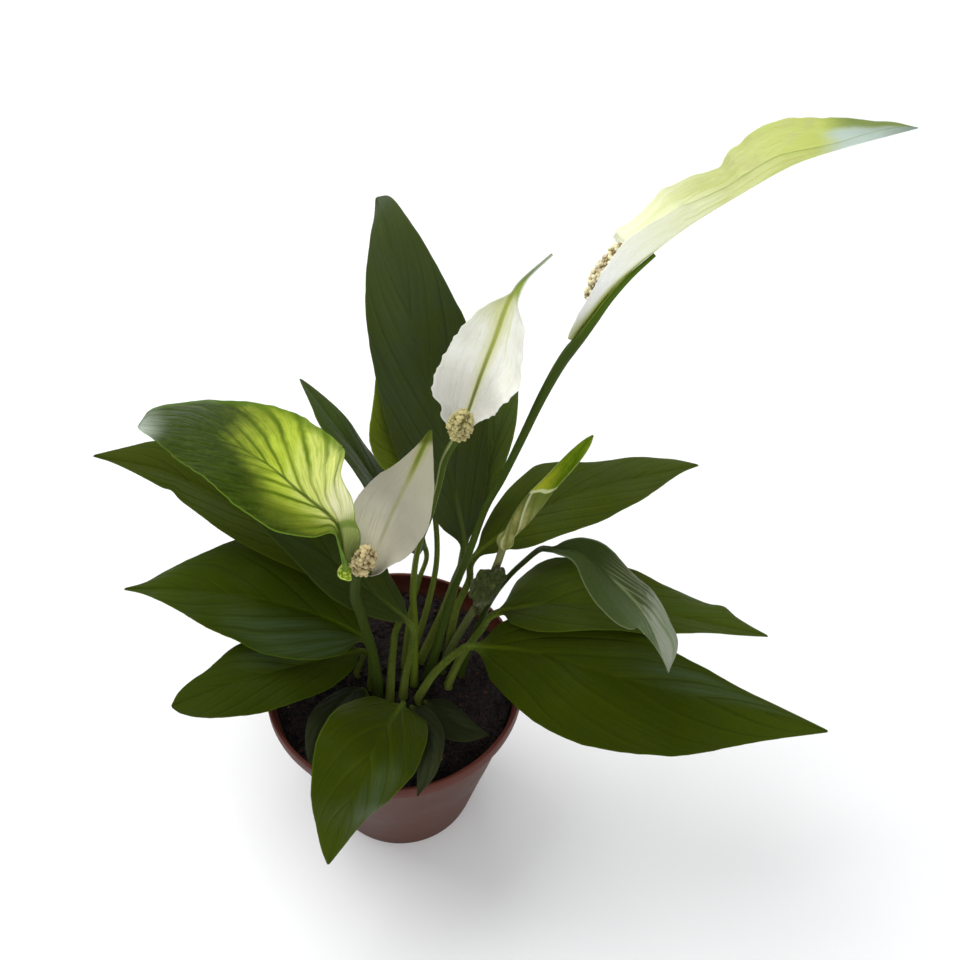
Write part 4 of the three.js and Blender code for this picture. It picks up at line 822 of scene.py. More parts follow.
class Value:
    """A value in a material, which formulas add, subtract, multiply, divide and raise to a power."""

    def __init__(self, shader, socket):
        self.shader = shader
        self.socket = socket

    def __add__(self, other):
        return self.shader.math("ADD", self, other)

    def __sub__(self, other):
        return self.shader.math("SUBTRACT", self, other)

    def __rsub__(self, other):
        return self.shader.math("SUBTRACT", other, self)

    def __mul__(self, other):
        return self.shader.math("MULTIPLY", self, other)

    def __truediv__(self, other):
        return self.shader.math("DIVIDE", self, other)

    def __pow__(self, other):
        return self.shader.math("POWER", self, other)

    def __abs__(self):
        return self.shader.math("ABSOLUTE", self)

    def cosine(self):
        return self.shader.math("COSINE", self)

    def root(self):
        return self.shader.math("SQRT", self)


class Shader:
    """A material with a Principled surface, and short words for the nodes that feed it."""

    def __init__(self, name, **settings):
        self.material = bpy.data.materials.new(name)
        self.material.use_nodes = True
        self.tree = self.material.node_tree
        self.surface = self.tree.nodes["Principled BSDF"]
        for words, value in settings.items():
            self.surface.inputs[words.replace("_", " ")].default_value = value

    def feed(self, socket, value):
        """Links a value to a socket, or sets a number, or a colour, which may be a triple as rgb takes it."""
        if isinstance(value, Value):
            self.tree.links.new(value.socket, socket)
        else:
            socket.default_value = rgb(*value) if isinstance(value, tuple) and len(value) == 3 else value

    def node(self, kind, inputs, output=0, **settings):
        made = self.tree.nodes.new(kind)
        for key, value in settings.items():
            setattr(made, key, value)
        for key, value in inputs.items():
            self.feed(made.inputs[key], value)
        return Value(self, made.outputs[output])

    def math(self, operation, *values):
        return self.node("ShaderNodeMath", dict(enumerate(values)), operation=operation)

    def fit(self, value, low, high, to_low=0, to_high=1):
        ends = {"Value": value, "From Min": low, "From Max": high, "To Min": to_low, "To Max": to_high}
        return self.node("ShaderNodeMapRange", ends, interpolation_type="SMOOTHSTEP")

    def blend(self, factor, a, b, mode="MIX"):
        return self.node("ShaderNodeMix", {0: factor, 6: a, 7: b}, 2, data_type="RGBA", blend_type=mode)

    def field(self, name, output="Vector"):
        return self.node("ShaderNodeAttribute", {}, output, attribute_name=name)

    def split(self, vector):
        parts = self.node("ShaderNodeSeparateXYZ", {0: vector}).socket.node.outputs
        return [Value(self, part) for part in parts]

    def join(self, x, y):
        return self.node("ShaderNodeCombineXYZ", {0: x, 1: y})

    def place(self):
        return self.node("ShaderNodeTexCoord", {}, "Object")

    def noise(self, vector, scale, detail=3, roughness=0.5, distortion=0):
        ends = {"Vector": vector, "Scale": scale, "Detail": detail, "Roughness": roughness,
                "Distortion": distortion}
        return self.node("ShaderNodeTexNoise", ends)

    def blade(self):
        """A blade's station, column, face, share of its half width, half width and distance from its rib."""
        u, s, face = self.split(self.field("blade"))
        across, wide = abs(s), self.field("wide", "Fac")
        return u, s, face, across, wide, across * wide

    def coats(self, base, coats):
        """Lays coats over a colour in turn; each has an amount and a colour, and may have a way to blend."""
        for amount, *coat in coats:
            base = self.blend(amount, base, *coat)
        return base

    def dress(self, colour, rough, height, distance, strength):
        """Sets the surface's colour, its roughness and its relief."""
        relief = {"Height": height, "Distance": distance, "Strength": strength}
        inputs = self.surface.inputs
        self.feed(inputs["Base Color"], colour)
        self.feed(inputs["Roughness"], rough)
        self.feed(inputs["Normal"], self.node("ShaderNodeBump", relief))
        return self

    def on(self, piece):
        piece.data.materials.append(self.material)
        return piece


def scaled(colour, k, warm=0):
    """A colour made k times as bright, and with warm above 0 a little less blue."""
    return (min(1, colour[0] * k), min(1, colour[1] * k), min(1, colour[2] * k * (1 - warm)), 1)


def lit(colour):
    """A screen colour of green tissue as it is under the studio's light."""
    return scaled(rgb(*colour), LIGHT_SHARE)


def lines_at(start, count, sharp):
    """1 where count times start is whole, and 0 between."""
    return abs((start * (math.pi * count)).cosine()) ** sharp


def leaf_material(name, leaf):
    """A dark leaf with sunken side veins in painted shade, a painted grey-blue sheen at one place, painted
    light towards its tip, and its petiole below the blade.
    """
    look = lit(leaf["colour"])
    m = Shader(name, Specular_IOR_Level=leaf.get("shine", 0.03), Specular_Tint=LEAF_GLINT)
    u, s, face, across, wide, away = m.blade()
    broad = m.noise(m.place(), 22, 3, 0.55)
    hue = m.noise(m.place(), 60, 4, 0.6)
    speck = m.noise(m.place(), 700, 3, 0.6)
    start = vein_start(u, across)
    wavy = start + (broad - 0.5) * 0.06
    strength = m.noise(m.join(start * 9, s), 1, 2)
    shown = m.fit(start, -0.5, -0.2) * m.fit(across, 1, 0.8) * m.fit(u, 1, 0.7)
    shown = shown * m.fit(strength, 0.35, 0.62, 0.25, 1)
    count = leaf["veins"]
    # Painted shade darkens the sunken vein grooves. Beside each runs a lighter band, a painted highlight on
    # the upper face
    groove = lines_at(wavy, count, 24) * shown
    beside = lines_at(wavy + 0.1 / count, count, 12) * shown
    swell = lines_at(wavy + 0.5 / count, count, 2)
    hairs = lines_at(wavy, count * 5, 4)
    streak = m.noise(m.join(start * 36, u * 6), 1, 3, 0.6)
    # A painted sheen: a grey-blue patch at the leaf's given place, in bands between the side veins, and faint
    # on leaves that give no place
    at_u, at_s, reach = leaf.get("cool", (0.6, -0.4, 0.3))
    far = ((u - at_u) ** 2 + ((s - at_s) * 0.6) ** 2).root()
    sheen_bands = m.fit(swell, 0, 1, 0.6, 1) * m.fit(streak, 0.3, 0.62, 0.5, 1)
    cool = m.fit(far, reach, 0.3 * reach) * sheen_bands
    rib = m.fit(away, m.fit(u, 0, 1, 1.5, 0.5), m.fit(u, 0, 1, 0.5, 0.1))
    edge = m.fit(wide - away, 0.75, 0.2)
    under = m.blend(beside * 0.35, scaled(look, 1.35), scaled(look, 1.9))
    # The petiole: painted light lifts the shade among the petioles, most near the soil
    low, high = (lit(tone) for tone in STEM_TONES)
    stem = m.blend(m.fit(u, -0.8, -0.15), low, high)
    stem = m.blend(m.fit(speck, 0.4, 0.7) * 0.3, stem, scaled(low, 1.4))
    base = m.coats(scaled(look, 1.04, 0.5), [
        (m.fit(hue, 0.35, 0.65), scaled(look, 0.96, -0.15)),
        (m.fit(broad, 0.35, 0.7, 0, 0.5), scaled(look, 0.72, 0.2)),
        # Painted light: lighter towards the tip
        (m.fit(u, 0.5, 1, 0, 0.85), scaled(look, leaf.get("tip", 1.6))),
        (m.fit(streak, 0.4, 0.75, 0, 0.22), scaled(look, 1.5, 0.3)),
        (m.fit(speck, 0.45, 0.75, 0, 0.18), scaled(look, 0.55)),
        (hairs * 0.08, scaled(look, 0.6)),
        # Painted sheen
        (cool * (0.5 if "cool" in leaf else 0.12), lit((74, 90, 66))),
        # Painted shade in the vein grooves, and a painted highlight beside them
        (groove * 0.5, scaled(look, 0.5)),
        (beside * leaf.get("vein_light", 0.14), scaled(look, 1.9, 0.2)),
        (rib * m.fit(u, 0.02, 0.22, 0.7, 0.06), scaled(look, 2.4, 0.3)),
        (edge * leaf.get("rim", 0.3), scaled(look, 2.4, 0.2)),
        (m.fit(face, *UNDERSIDE), under),
        (m.fit(u, *BLADE_FOOT), stem)])
    relief = speck * 0.3 + streak * 0.8 - hairs * 0.3 - groove
    return m.dress(base, m.fit(broad, 0.3, 0.75, 0.32, 0.46), relief, 0.00022, 0.8)


def young_material(name, leaf):
    """The young leaf: green, with pale veins on its left half, and a painted silvery sheen streaked towards
    its tip.
    """
    look = lit(leaf["colour"])
    m = Shader(name, Specular_IOR_Level=leaf["shine"], Specular_Tint=LEAF_GLINT)
    u, s, face, across, wide, away = m.blade()
    start = vein_start(u, across, YOUNG_VEINS_RUN)
    along = m.noise(m.join(start * 16, u * 2), 1, 4, 0.65, 0.2)
    fine = m.noise(m.join(start * 60, u * 5), 1, 4, 0.65)
    speck = m.noise(m.place(), 800, 3, 0.6)
    left = m.fit(s, 0.1, -0.1)
    patches = m.noise(m.join(u * 5, s * 2.5), 1.6, 4, 0.6, 0.4)
    green = m.blend(m.fit(u, 0.3, 0.7), scaled(look, 0.72), scaled(look, 1.2))
    dull = m.blend(m.fit(u, 0.2, 0.5), (42, 54, 20), (68, 76, 46))
    ribs = lines_at(start + 0.02, 7, 12) * m.fit(u, 0.28, 0.45)
    # A painted silvery sheen on the left half towards the tip, and all across the tip
    reach = u + (patches - 0.5) * 0.45 + (along - 0.5) * 0.5 - s * 0.12
    silver_sheen = m.fit(reach, 0.61, 0.84) * (left * 0.92 + m.fit(u, 0.8, 0.95))
    silver_sheen = m.math("MINIMUM", silver_sheen, 1) * m.fit(fine, 0.3, 0.5, 0.72, 0.95)
    shades = m.fit(fine, 0.5, 0.62) * m.fit(u, 0.5, 0.75)
    streaks = m.fit(along, 0.54, 0.42) * m.fit(u, 0.62, 0.78)
    edge = m.fit(wide - away, 0.9, 0.2)
    stem = m.blend(m.fit(u, -0.9, -0.3), (62, 78, 24), (44, 56, 16))
    base = m.coats(green, [
        (left, dull),
        (m.fit(fine, 0.4, 0.7, 0, 0.5), scaled(look, 0.6)),
        (ribs * (left * 0.8), (116, 128, 92)),
        (m.fit(away, 1.6, 0.2) * m.fit(u, 0.32, 0.5, 0, 0.8), (122, 134, 92)),
        (silver_sheen, (156, 161, 144)),
        (shades * 0.45, (96, 112, 72)),
        (streaks * 0.75, (100, 120, 72)),
        (edge * 0.5, (120, 132, 92)),
        (m.fit(face, *UNDERSIDE), (84, 94, 62)),
        (m.fit(u, *BLADE_FOOT), stem)])
    return m.dress(base, m.fit(along, 0.3, 0.7, 0.34, 0.46), fine * 0.7 + along + speck * 0.2, 0.0006, 0.8)


def front_spathe_material():
    """The front white spathe: painted grey for the shade it stands in, with a faint line from the spadix and a
    green tip.
    """
    m = Shader("spathe_front_white", Specular_IOR_Level=0.12)
    u, s, _ = m.split(m.field("blade"))
    aside = s * m.field("wide", "Fac")
    soft = m.noise(m.place(), 45, 3, 0.5)
    lines = m.noise(m.join(u * 1.3, s * 7), 2.4, 5, 0.65, 0.2)
    fine = m.noise(m.join(u * 4, s * 60), 1, 3, 0.6)
    wander = abs(aside + (soft - 0.5) * 0.9)
    glow = m.fit(wander, 1.5, 0.2) * m.fit(u, 0.1, 0.25, 0, 0.6)
    high = m.fit(wander, m.fit(u, 0.6, 1, 2.5, 4), 0) * m.fit(u, 0.6, 0.86, 0, 0.8)
    line = m.fit(wander, 1.3, 0.3) * m.fit(u, 0.62, 0.86, 0, 0.8)
    # The greys are painted shade over the white of the spathe
    base = m.coats((158, 154, 136), [
        (m.fit(soft, 0.3, 0.7), (167, 163, 146)),
        (m.fit(u, 0.5, 0.75, 0, 0.8), (158, 155, 132)),
        # Painted light: a paler patch low on the left lifts the shade inside the curl
        (m.fit(u, 0.55, 0.12) * m.fit(s, 0.7, -0.3), (232, 226, 200)),
        (m.fit(lines, 0.48, 0.72, 0, 0.5), (150, 146, 124)),
        (m.fit(fine, 0.55, 0.8, 0, 0.25), (204, 201, 184)),
        (glow * m.fit(u, 0.75, 0.5, 1, 0.75), (138, 138, 66)),
        (high, (138, 140, 60)),
        (line, (80, 98, 16)),
        (m.fit(u - s * 0.02, 0.89, 0.94, 0, 0.9), (76, 86, 14))])
    return m.dress(base, m.fit(soft, 0.3, 0.7, 0.5, 0.62), lines + fine * 0.3, 0.0005, 0.6)


def centre_spathe_material():
    """The middle spathe: white with painted shade low down, a dark green rib that pales upward, greenish bands
    and a green tail.
    """
    m = Shader("spathe_centre_white", Specular_IOR_Level=0.12)
    u, s, _ = m.split(m.field("blade"))
    wide = m.field("wide", "Fac")
    across = abs(s)
    aside = s * wide
    soft = m.noise(m.place(), 60, 4, 0.6)
    uneven = soft - 0.5
    lines = m.noise(m.join(u * 2, s * 6), 2, 5, 0.65, 0.6)
    fine = m.noise(m.join(u * 5, s * 60), 1, 3, 0.6)
    bands = m.fit(lines, 0.5, 0.38) * m.fit(across, 0.95, 0.3)
    upper = m.fit(u, 0.52, 0.7) * m.fit(s, 0.35, -0.1)
    wander = abs(aside + uneven * 0.7)
    glow = m.fit(wander, m.fit(u, 0, 0.7, 3.4, 6), 0.2)
    rib = m.blend(m.fit(u, 0.15, 0.6), (98, 110, 4), (160, 168, 76))
    line = m.fit(wander, m.fit(u, 0, 0.6, 1, 1.4), 0.35)
    tail = m.blend(m.fit(u, 0.8, 0.9), (146, 164, 72), (118, 138, 86))
    edge = m.fit(wide - abs(aside), 0.9, 0.2)
    base = m.coats((234, 234, 222), [
        (m.fit(soft, 0.3, 0.7), (247, 247, 238)),
        # Painted shade low on the spathe
        (m.fit(u, 0.42, 0.18, 0, 0.55), (206, 203, 198)),
        (m.fit(lines, 0.46, 0.7, 0, 0.45), (206, 205, 190)),
        (m.fit(fine, 0.55, 0.8, 0, 0.2), (196, 196, 176)),
        (bands * m.fit(u, 0.3, 0.6, 0.05, 0.6), (212, 216, 150)),
        (upper * 0.65, (202, 208, 140)),
        (glow * m.fit(u, 0.1, 0.6, 0.45, 0.75), (206, 209, 136)),
        (line * 0.92, rib),
        (m.fit(u + uneven * 0.05, 0.71, 0.78), tail),
        (edge * 0.6, (236, 240, 226))])
    relief = lines + fine * 0.3 + soft * 0.6 - line * 0.3
    return m.dress(base, m.fit(soft, 0.3, 0.7, 0.5, 0.62), relief, 0.0011, 0.7)


def leafy_material():
    """The green bract: painted light where light shines through it, bright between dark veins near its foot,
    dark at its rims, and a painted bluish-white sheen at its tip.
    """
    m = Shader("spathe_leafy_green", Specular_IOR_Level=0.03, Specular_Tint=LEAF_GLINT)
    u, s, face, across, wide, away = m.blade()
    soft = m.noise(m.place(), 70, 4, 0.6)
    uneven = soft - 0.5
    start = vein_start(u, across, BRACT_VEINS_RUN)
    wavy = start + uneven * 0.035
    strength = m.noise(m.join(wavy * 12, s * 1.2), 1, 1)
    veins = lines_at(wavy, 12, 9) * m.fit(strength, 0.35, 0.6, 0.4, 1)
    fine = m.noise(m.join(start * 80, u * 10), 1, 4, 0.65)
    speck = m.noise(m.place(), 420, 3, 0.6)
    reach = u + uneven * 0.2 + (fine - 0.5) * 0.16 + veins * 0.05 - s * m.fit(s, -0.1, 0.1, 0.33, 0.1)
    # Painted light: the lime where light shines through the bract near its foot
    bright = m.fit(reach, 0.72, 0.44) * m.fit(s, -0.6, -0.1, 0.4, 1) * m.fit(s, -1, -0.75, 0.25, 1)
    lime = m.blend(m.fit(reach, 0.26, 0.5), (208, 215, 124), (168, 185, 58))
    lime = m.blend(m.fit(fine, 0.42, 0.72, 0, 0.6), lime, (128, 150, 34))
    dark = m.blend(m.fit(fine, 0.35, 0.7), (36, 50, 6), (58, 73, 18))
    dark = m.blend(m.fit(speck, 0.45, 0.75, 0, 0.3), dark, (78, 92, 34))
    shade = veins * m.fit(bright, 0, 0.5, 0.12, 0.95)
    rim = m.fit(s + uneven * 0.2, 0.78, 0.97) * m.fit(u, 0.24, 0.34)
    cream = m.blend(m.fit(fine, 0.4, 0.65), (228, 226, 182), (196, 204, 126))
    neck = u + uneven * 0.05
    foot = m.blend(m.fit(s, -0.2, 0.2), (88, 104, 40), (176, 190, 112))
    foot = m.blend(m.fit(fine, 0.4, 0.7, 0, 0.5), foot, (104, 120, 60))
    fold = abs(u - 0.18 + s * 0.03)
    line = m.fit(abs(s * wide + 0.6), m.fit(u, 0.22, 0.5, 1.6, 0.8), 0.3)
    # A painted bluish-white sheen at the tip
    tip_sheen = u + uneven * 0.05 - s * 0.075
    tip_sheen = m.fit(tip_sheen, 0.875, 1.02) * m.fit(fine, 0.25, 0.7, 0.6, 1)
    edge = m.fit(wide - away, 0.8, 0.2)
    under = m.blend(veins * 0.5, (96, 128, 40), (66, 92, 26))
    body = m.coats(dark, [
        (bright, lime),
        (shade, (76, 100, 12)),
        (rim * 0.75, (72, 100, 12)),
        (m.fit(neck, 0.31, 0.24) * m.fit(s, 0, 0.3), cream),
        (m.fit(neck, 0.21, 0.17), foot),
        (m.fit(fold, 0.022, 0.008) * 0.7, (116, 144, 52)),
        (line * m.fit(u, 0.95, 0.3, 0.2, 0.9), (72, 92, 26)),
        (tip_sheen, (172, 184, 166)),
        (edge * m.fit(u, 0.9, 0.3, 0.15, 0.6), (112, 140, 44)),
        (m.fit(face, *UNDERSIDE), under)])
    return m.dress(body, m.fit(soft, 0.3, 0.7, 0.36, 0.5), fine * 0.5 - veins, 0.0005, 0.8)


def tall_spathe_material():
    """The tall spathe: white, then lime, and bluish white at its tip with an olive wedge on its upper rim;
    painted shade greys its foot, its near rim and its far flap.
    """
    m = Shader("spathe_tall_lime", Specular_IOR_Level=0.12)
    u, s, _ = m.split(m.field("blade"))
    across = abs(s)
    away = across * m.field("wide", "Fac")
    soft = m.noise(m.place(), 34, 4, 0.6)
    uneven = soft - 0.5
    bands = m.noise(m.join(u * 4.5, s * 5), 1.6, 4, 0.6, 0.5)
    fine = m.noise(m.join(u * 9, s * 70), 1, 3, 0.6)
    patch = m.fit(bands, 0.47, 0.6) * m.fit(u, 0.22, 0.55, 0.05, 0.65)
    spots = m.fit(m.noise(m.place(), 110, 5, 0.65), 0.5, 0.66) * m.fit(u, 0.36, 0.7, 0, 0.5)
    middle = m.fit(away + uneven * 4, 7, 0.5)
    side = s + uneven * 0.4
    late = u + uneven * 0.06
    olive = m.blend(m.fit(late, 0.8, 0.9), (200, 212, 106), (146, 164, 90))
    cold = m.blend(m.fit(late, 0.84, 0.98), (206, 224, 210), (164, 182, 164))
    turn = late + m.fit(s, -0.2, 0.3, 0, 0.03)
    body = m.coats((251, 252, 246), [
        (m.fit(u, 0.15, 0.42), (242, 246, 200)),
        (m.fit(u, 0.4, 0.58), (228, 235, 158)),
        (m.fit(u, 0.56, 0.78), (210, 221, 118)),
        (patch * m.fit(across, 1, 0.6, 0.4, 1), (204, 214, 110)),
        (spots, (208, 206, 140)),
        (m.fit(fine, 0.55, 0.8) * m.fit(u, 0.1, 0.5, 0.05, 0.3), (206, 218, 128)),
        (middle * m.fit(u, 0.3, 0.6, 0.1, 0.6), (198, 212, 110)),
        (m.fit(away, 5, 1) * m.fit(u, 0.36, 0.28), (180, 190, 96)),
        (m.fit(late, 0.78, 0.86) * m.fit(side, -0.62, -0.8), olive)])
    body = m.blend(m.fit(turn, 0.77, 0.85), body, m.blend(m.fit(side, -0.62, -0.84), cold, body))
    # Painted shade: grey at the foot, and darker along the rim of the near flap and over the far flap
    foot = m.fit(u, 0.22, 0.08) * m.fit(s, 0.1, 0.6)
    far = m.fit(s, 0.05, -0.05) * m.fit(u, 0.32, 0.52)
    body = m.coats(body, [
        (foot * 0.4, (206, 200, 198)),
        (m.fit(s, 0.93, 0.98) * m.fit(u, 0.3, 0.5), (0.7, 0.74, 0.6, 1), "MULTIPLY"),
        (far, (0.72, 0.72, 0.74, 1), "MULTIPLY")])
    return m.dress(body, m.fit(soft, 0.3, 0.7, 0.46, 0.6), bands + fine * 0.35 + soft * 0.8, 0.0012, 0.7)


def stalk_material(name, low, high, fleck, knuckle=False, pale_lines=None, top=None):
    """marks: an angle, how far from it pale lines run, the share of the stalk they start at, their colour."""
    m = Shader(name, Specular_IOR_Level=0.06, Specular_Tint=LEAF_GLINT)
    t, angle, knob = m.split(m.field("stalk"))
    streak = m.noise(m.join(t * 3, angle * 30), 2, 4, 0.6)
    speck = m.noise(m.place(), 1400, 2)
    base = m.blend(m.fit(t, 0.15, 0.75), low, high)
    base = m.blend(m.fit(streak, 0.45, 0.75) * 0.5, base, fleck)
    base = m.blend(m.fit(speck, 0.5, 0.75) * 0.3, base, fleck)
    if top:
        base = m.blend(m.fit(t, 0.84, 0.97, 0, 0.9), base, top)
    # Pale lines along the stalk; on the centre stalk they are painted highlights along its sides
    if pale_lines:
        at, beside, begins, colour = pale_lines
        line = abs(abs(angle - at) - beside)
        line = m.fit(line, 0.06, 0.02) * m.fit(t, begins, begins + 0.08)
        base = m.blend(line * 0.8, base, colour)
    if knuckle:
        spots = m.noise(m.place(), 420, 3)
        green = m.blend(m.fit(spots, 0.42, 0.58), (116, 144, 20), (206, 216, 110))
        base = m.blend(knob, base, green)
    return m.dress(base, m.fit(streak, 0.3, 0.8, 0.38, 0.55), streak + speck * 0.4, 0.00018, 0.7)


def spadix_material(name, light, shaded_gap):
    """Florets of uneven brightness with painted highlights on their tops, dark with painted shade in the gaps
    between them, and brown specks.
    """
    m = Shader(name, Specular_IOR_Level=0.2)
    dome, which, _ = m.split(m.field("floret"))
    speck = m.noise(m.place(), 1500, 3, 0.6)
    top = m.blend(which, scaled(rgb(*light), 0.72), scaled(rgb(*light), 1.25))
    top = m.blend(m.fit(which, 0.72, 0.85) * 0.5, top, (150, 146, 88))
    # Painted shade in the gaps, with the florets over it
    base = m.coats(shaded_gap, [
        (m.fit(dome, 0.05, 0.55), top),
        (m.fit(speck, 0.5, 0.68) * 0.4, (128, 102, 62)),
        # Painted highlight on the floret tops
        (m.fit(dome, 0.6, 1) * 0.5, scaled(rgb(*light), 1.35))])
    return m.dress(base, 0.75, speck, 0.0005, 0.8)


def bud_material():
    """The bud: cream with green stripes that wind up it, pale rims, and a green hood."""
    m = Shader("bud_cream_green", Specular_IOR_Level=0.15, Specular_Tint=LEAF_GLINT)
    u, s, _ = m.split(m.field("blade"))
    turn = m.field("turn", "Fac")
    wound = m.field("wound", "Fac")
    soft = m.noise(m.place(), 160, 3)
    twist = (turn - u) * 6 + soft * 0.5
    stripe = lines_at(twist, 1, 4)
    fine = lines_at(twist, 4, 2)
    pale = m.blend(m.fit(soft, 0.35, 0.7), (114, 114, 54), (156, 152, 98))
    pale = m.blend(m.fit(u, 0.3, 0.55), pale, (90, 102, 38))
    rim = m.fit(wound, 0.5, 0.6) * m.fit(wound, 0.76, 0.66)
    hood = m.blend(m.fit(soft, 0.3, 0.7), (86, 112, 8), (112, 136, 20))
    hood = m.blend(m.fit(u, 0.78, 0.6) * m.fit(s, 0.5, -0.3), hood, (150, 158, 34))
    edge = m.fit(abs(s), 0.86, 0.98)
    hood = m.blend(edge * 0.6, hood, (150, 164, 96))
    open_at = u - s * 0.06
    lip = m.fit(abs(open_at - 0.55), 0.016, 0.008)
    near = ((u - 0.07) * 30) ** 2 + ((turn + 0.22) * 9) ** 2
    base = m.coats(pale, [
        (stripe * 0.7, (84, 98, 30)),
        (fine * 0.2, (92, 106, 40)),
        (rim * 0.75, (182, 184, 142)),
        (m.fit(open_at, 0.55, 0.57), hood),
        (lip * 0.85, (196, 202, 150)),
        (m.fit(near, 1.2, 0.1), (146, 146, 20))])
    return m.dress(base, 0.5, stripe + soft + fine * 0.5, 0.0004, 0.7)


def sheath_material():
    m = Shader("sheath_dry", Specular_IOR_Level=0.15)
    u, s, _ = m.split(m.field("blade"))
    lines = m.noise(m.join(u * 3, s * 8), 3, 5, 0.65, 0.4)
    soft = m.noise(m.place(), 120, 4, 0.6)
    base = m.coats((44, 54, 18), [
        (m.fit(lines, 0.35, 0.7), (96, 104, 58)),
        (m.fit(soft, 0.52, 0.72) * 0.6, (134, 132, 106)),
        (m.fit(soft, 0.46, 0.3) * 0.6, (44, 62, 10))])
    return m.dress(base, 0.6, lines + soft, 0.0012, 0.9)


def pot_material():
    m = Shader("pot_plastic_terracotta", Specular_IOR_Level=0.12)
    where = m.place()
    _, _, z = m.split(where)
    soft = m.noise(where, 14, 4, 0.6)
    grain = m.noise(where, 1500, 3, 0.6)
    body = m.blend(m.fit(soft, 0.35, 0.7), (72, 41, 32), (82, 49, 39))
    lip = m.blend(m.fit(soft, 0.35, 0.7), (78, 36, 26), (94, 46, 35))
    dusty = m.fit(m.noise(where, 60, 5, 0.7), 0.55, 0.75) * 0.3
    base = m.coats(body, [(m.fit(z, 0.0885, 0.0902), lip), (dusty, (96, 66, 55))])
    return m.dress(base, m.fit(soft, 0.3, 0.7, 0.42, 0.58), grain, 0.00012, 0.5)


def soil_material():
    m = Shader("soil_peat", Specular_IOR_Level=0.15)
    where = m.place()
    crumb = m.field("crumb", "Fac")
    grain = m.noise(where, 900, 5, 0.7)
    clod = m.noise(where, 160, 4, 0.6)
    base = m.coats((26, 22, 24), [
        (m.fit(grain, 0.35, 0.7), (58, 48, 46)),
        (m.fit(crumb, 0.6, 0.95), (78, 52, 42)),
        (m.fit(crumb, 0.985, 0.995), (120, 104, 84))])
    return m.dress(base, 0.95, grain + clod, 0.0012, 0.9)


# The plant

for name, leaf in LEAVES.items():
    young = name == "leaf_young_drooping"
    material = young_material if young else leaf_material
    piece = material("green_" + name, leaf).on(leaf_piece("blade_" + name, leaf))
    stands_for(piece, name)

SPATHE_LOOKS = {
    "spathe_front": ("spathe", front_spathe_material),
    "spathe_front_leafy": ("green_spathe", leafy_material),
    "spathe_centre": ("spathe", centre_spathe_material),
    "spathe_tall": ("lime_spathe", tall_spathe_material),
}
# Each spadix: its floret colour, then the dark colour between its florets, which is painted shade
SPADIX_LOOKS = {
    "front": ((186, 170, 124), (84, 62, 34)),
    "centre": ((178, 168, 116), (92, 86, 34)),
    "tall": ((232, 222, 186), (150, 124, 76)),
}
STALK_LOOKS = {
    "front": dict(low=(50, 63, 18), high=(46, 58, 18), fleck=(74, 88, 34), knuckle=True),
    # The pale lines of the centre stalk are painted highlights along its sides
    "centre": dict(low=(92, 106, 30), high=(60, 76, 24), fleck=(96, 112, 44),
                   pale_lines=(0.25, 0.17, 0.4, (150, 158, 110))),
    "tall": dict(low=(50, 64, 20), high=(52, 68, 20), fleck=(78, 92, 34),
                 pale_lines=(0.02, 0.02, 0.86, (150, 170, 54)), top=(78, 104, 30)),
    "bud": dict(low=(70, 82, 34), high=(110, 112, 72), fleck=(130, 130, 92)),
}


def add_stalk(name, bloom, top, radii):
    points = buried(bloom["root"]) + bloom["stalk"] + top
    piece = stalk_piece("stem_" + name, points, radii, bloom.get("knuckle"))
    stands_for(stalk_material("stem_green_" + name, **STALK_LOOKS[name]).on(piece), "stalk_" + name)


for index, (name, bloom) in enumerate(BLOOMS.items()):
    foot, tip, radius = bloom["spadix"]
    axis = np.subtract(tip, foot).astype(float)
    axis /= np.linalg.norm(axis)
    keel = bloom.get("keel")
    if keel:
        carried = next(iter(bloom["spathes"].values()))
        add_stalk(name, bloom, keel_points(carried, *keel, bloom["radius"][-1]), bloom["radius"] + [keel[1]])
    else:
        top = [(np.array(foot) - axis * back).tolist() for back in (STRAIGHT_UNDER_SPADIX, GAP)]
        add_stalk(name, bloom, top, bloom["radius"])
    for spathe, form in bloom["spathes"].items():
        slot, material = SPATHE_LOOKS[spathe]
        stands_for(material().on(spathe_piece("sheet_" + spathe, form)), spathe)
    piece = spadix_piece("club_" + name, foot, tip, radius, 20 + index, bloom.get("pitch", FLORET_PITCH))
    stands_for(spadix_material("florets_" + name, *SPADIX_LOOKS[name]).on(piece), "spadix_" + name)

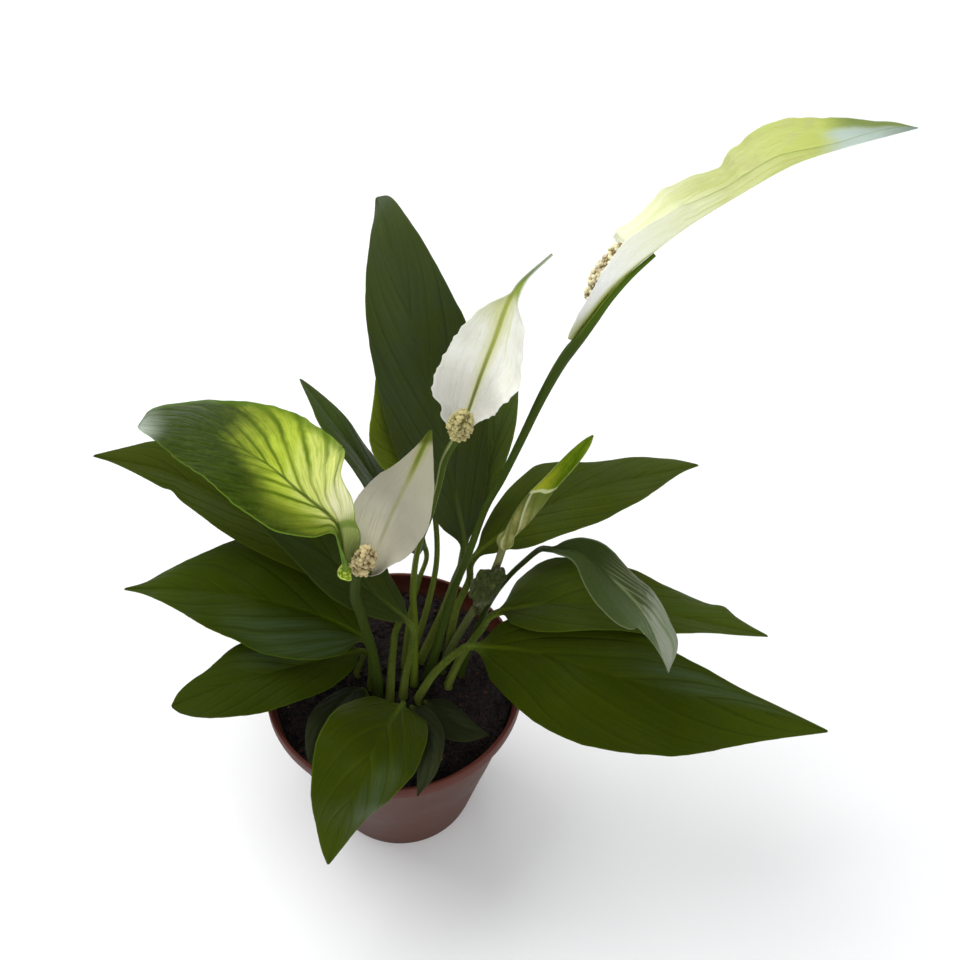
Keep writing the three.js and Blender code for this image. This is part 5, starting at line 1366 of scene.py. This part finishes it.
add_stalk("bud", BUD, [], BUD["radius"])
stands_for(bud_material().on(bud_piece("rolled_bud", BUD)), "bud")
stands_for(sheath_material().on(spathe_piece("dry_sheath", SHEATH, keel=0)), "sheath_bud")
stands_for(pot_material().on(build_pot()), "pot")
stands_for(soil_material().on(build_soil()), "soil")

# Floor, light and camera

floor_mesh = bpy.data.meshes.new("floor")
floor_mesh.from_pydata([(-4, -4, 0), (4, -4, 0), (4, 4, 0), (-4, 4, 0)], [], [(0, 1, 2, 3)])
floor = bpy.data.objects.new("floor", floor_mesh)
bpy.context.scene.collection.objects.link(floor)
Shader("floor_pale", Base_Color=(0.97, 0.97, 0.97, 1), Specular_IOR_Level=0.0, Roughness=0.9).on(floor)

scene = bpy.context.scene
scene.view_settings.view_transform = "Standard"
scene.view_settings.look = "None"
world = bpy.data.worlds.new("studio")
scene.world = world
world.use_nodes = True
world.node_tree.nodes["Background"].inputs[0].default_value = (0.96, 0.98, 1.0, 1)
world.node_tree.nodes["Background"].inputs[1].default_value = 0.54


def softbox(name, place, target, size, power):
    light = bpy.data.lights.new(name, "AREA")
    light.shape = "SQUARE"
    light.size = size
    light.energy = power
    lamp = bpy.data.objects.new(name, light)
    scene.collection.objects.link(lamp)
    lamp.location = place
    way = np.subtract(place, target)
    lamp.rotation_euler = (math.atan2(math.hypot(way[0], way[1]), way[2]), 0, math.atan2(way[0], -way[1]))


CENTRE = (0.03, 0.0, 0.16)
softbox("light_top", (-0.55, 0.35, 1.35), CENTRE, 1.0, 13.5)
softbox("light_front", (0.5, -1.2, 1.0), CENTRE, 1.0, 7.5)
softbox("light_back", (-0.5, 1.5, 0.9), CENTRE, 1.0, 6.5)

camera = bpy.data.cameras.new("camera")
camera.lens = 56.25
camera.sensor_width = 36
camera.clip_start = 0.01
eye = bpy.data.objects.new("camera", camera)
scene.collection.objects.link(eye)
eye.location = (0.040, -0.3835, 0.6892)
eye.rotation_euler = (math.radians(40.4), 0, 0)
scene.camera = eye

bpy.context.view_layer.update()
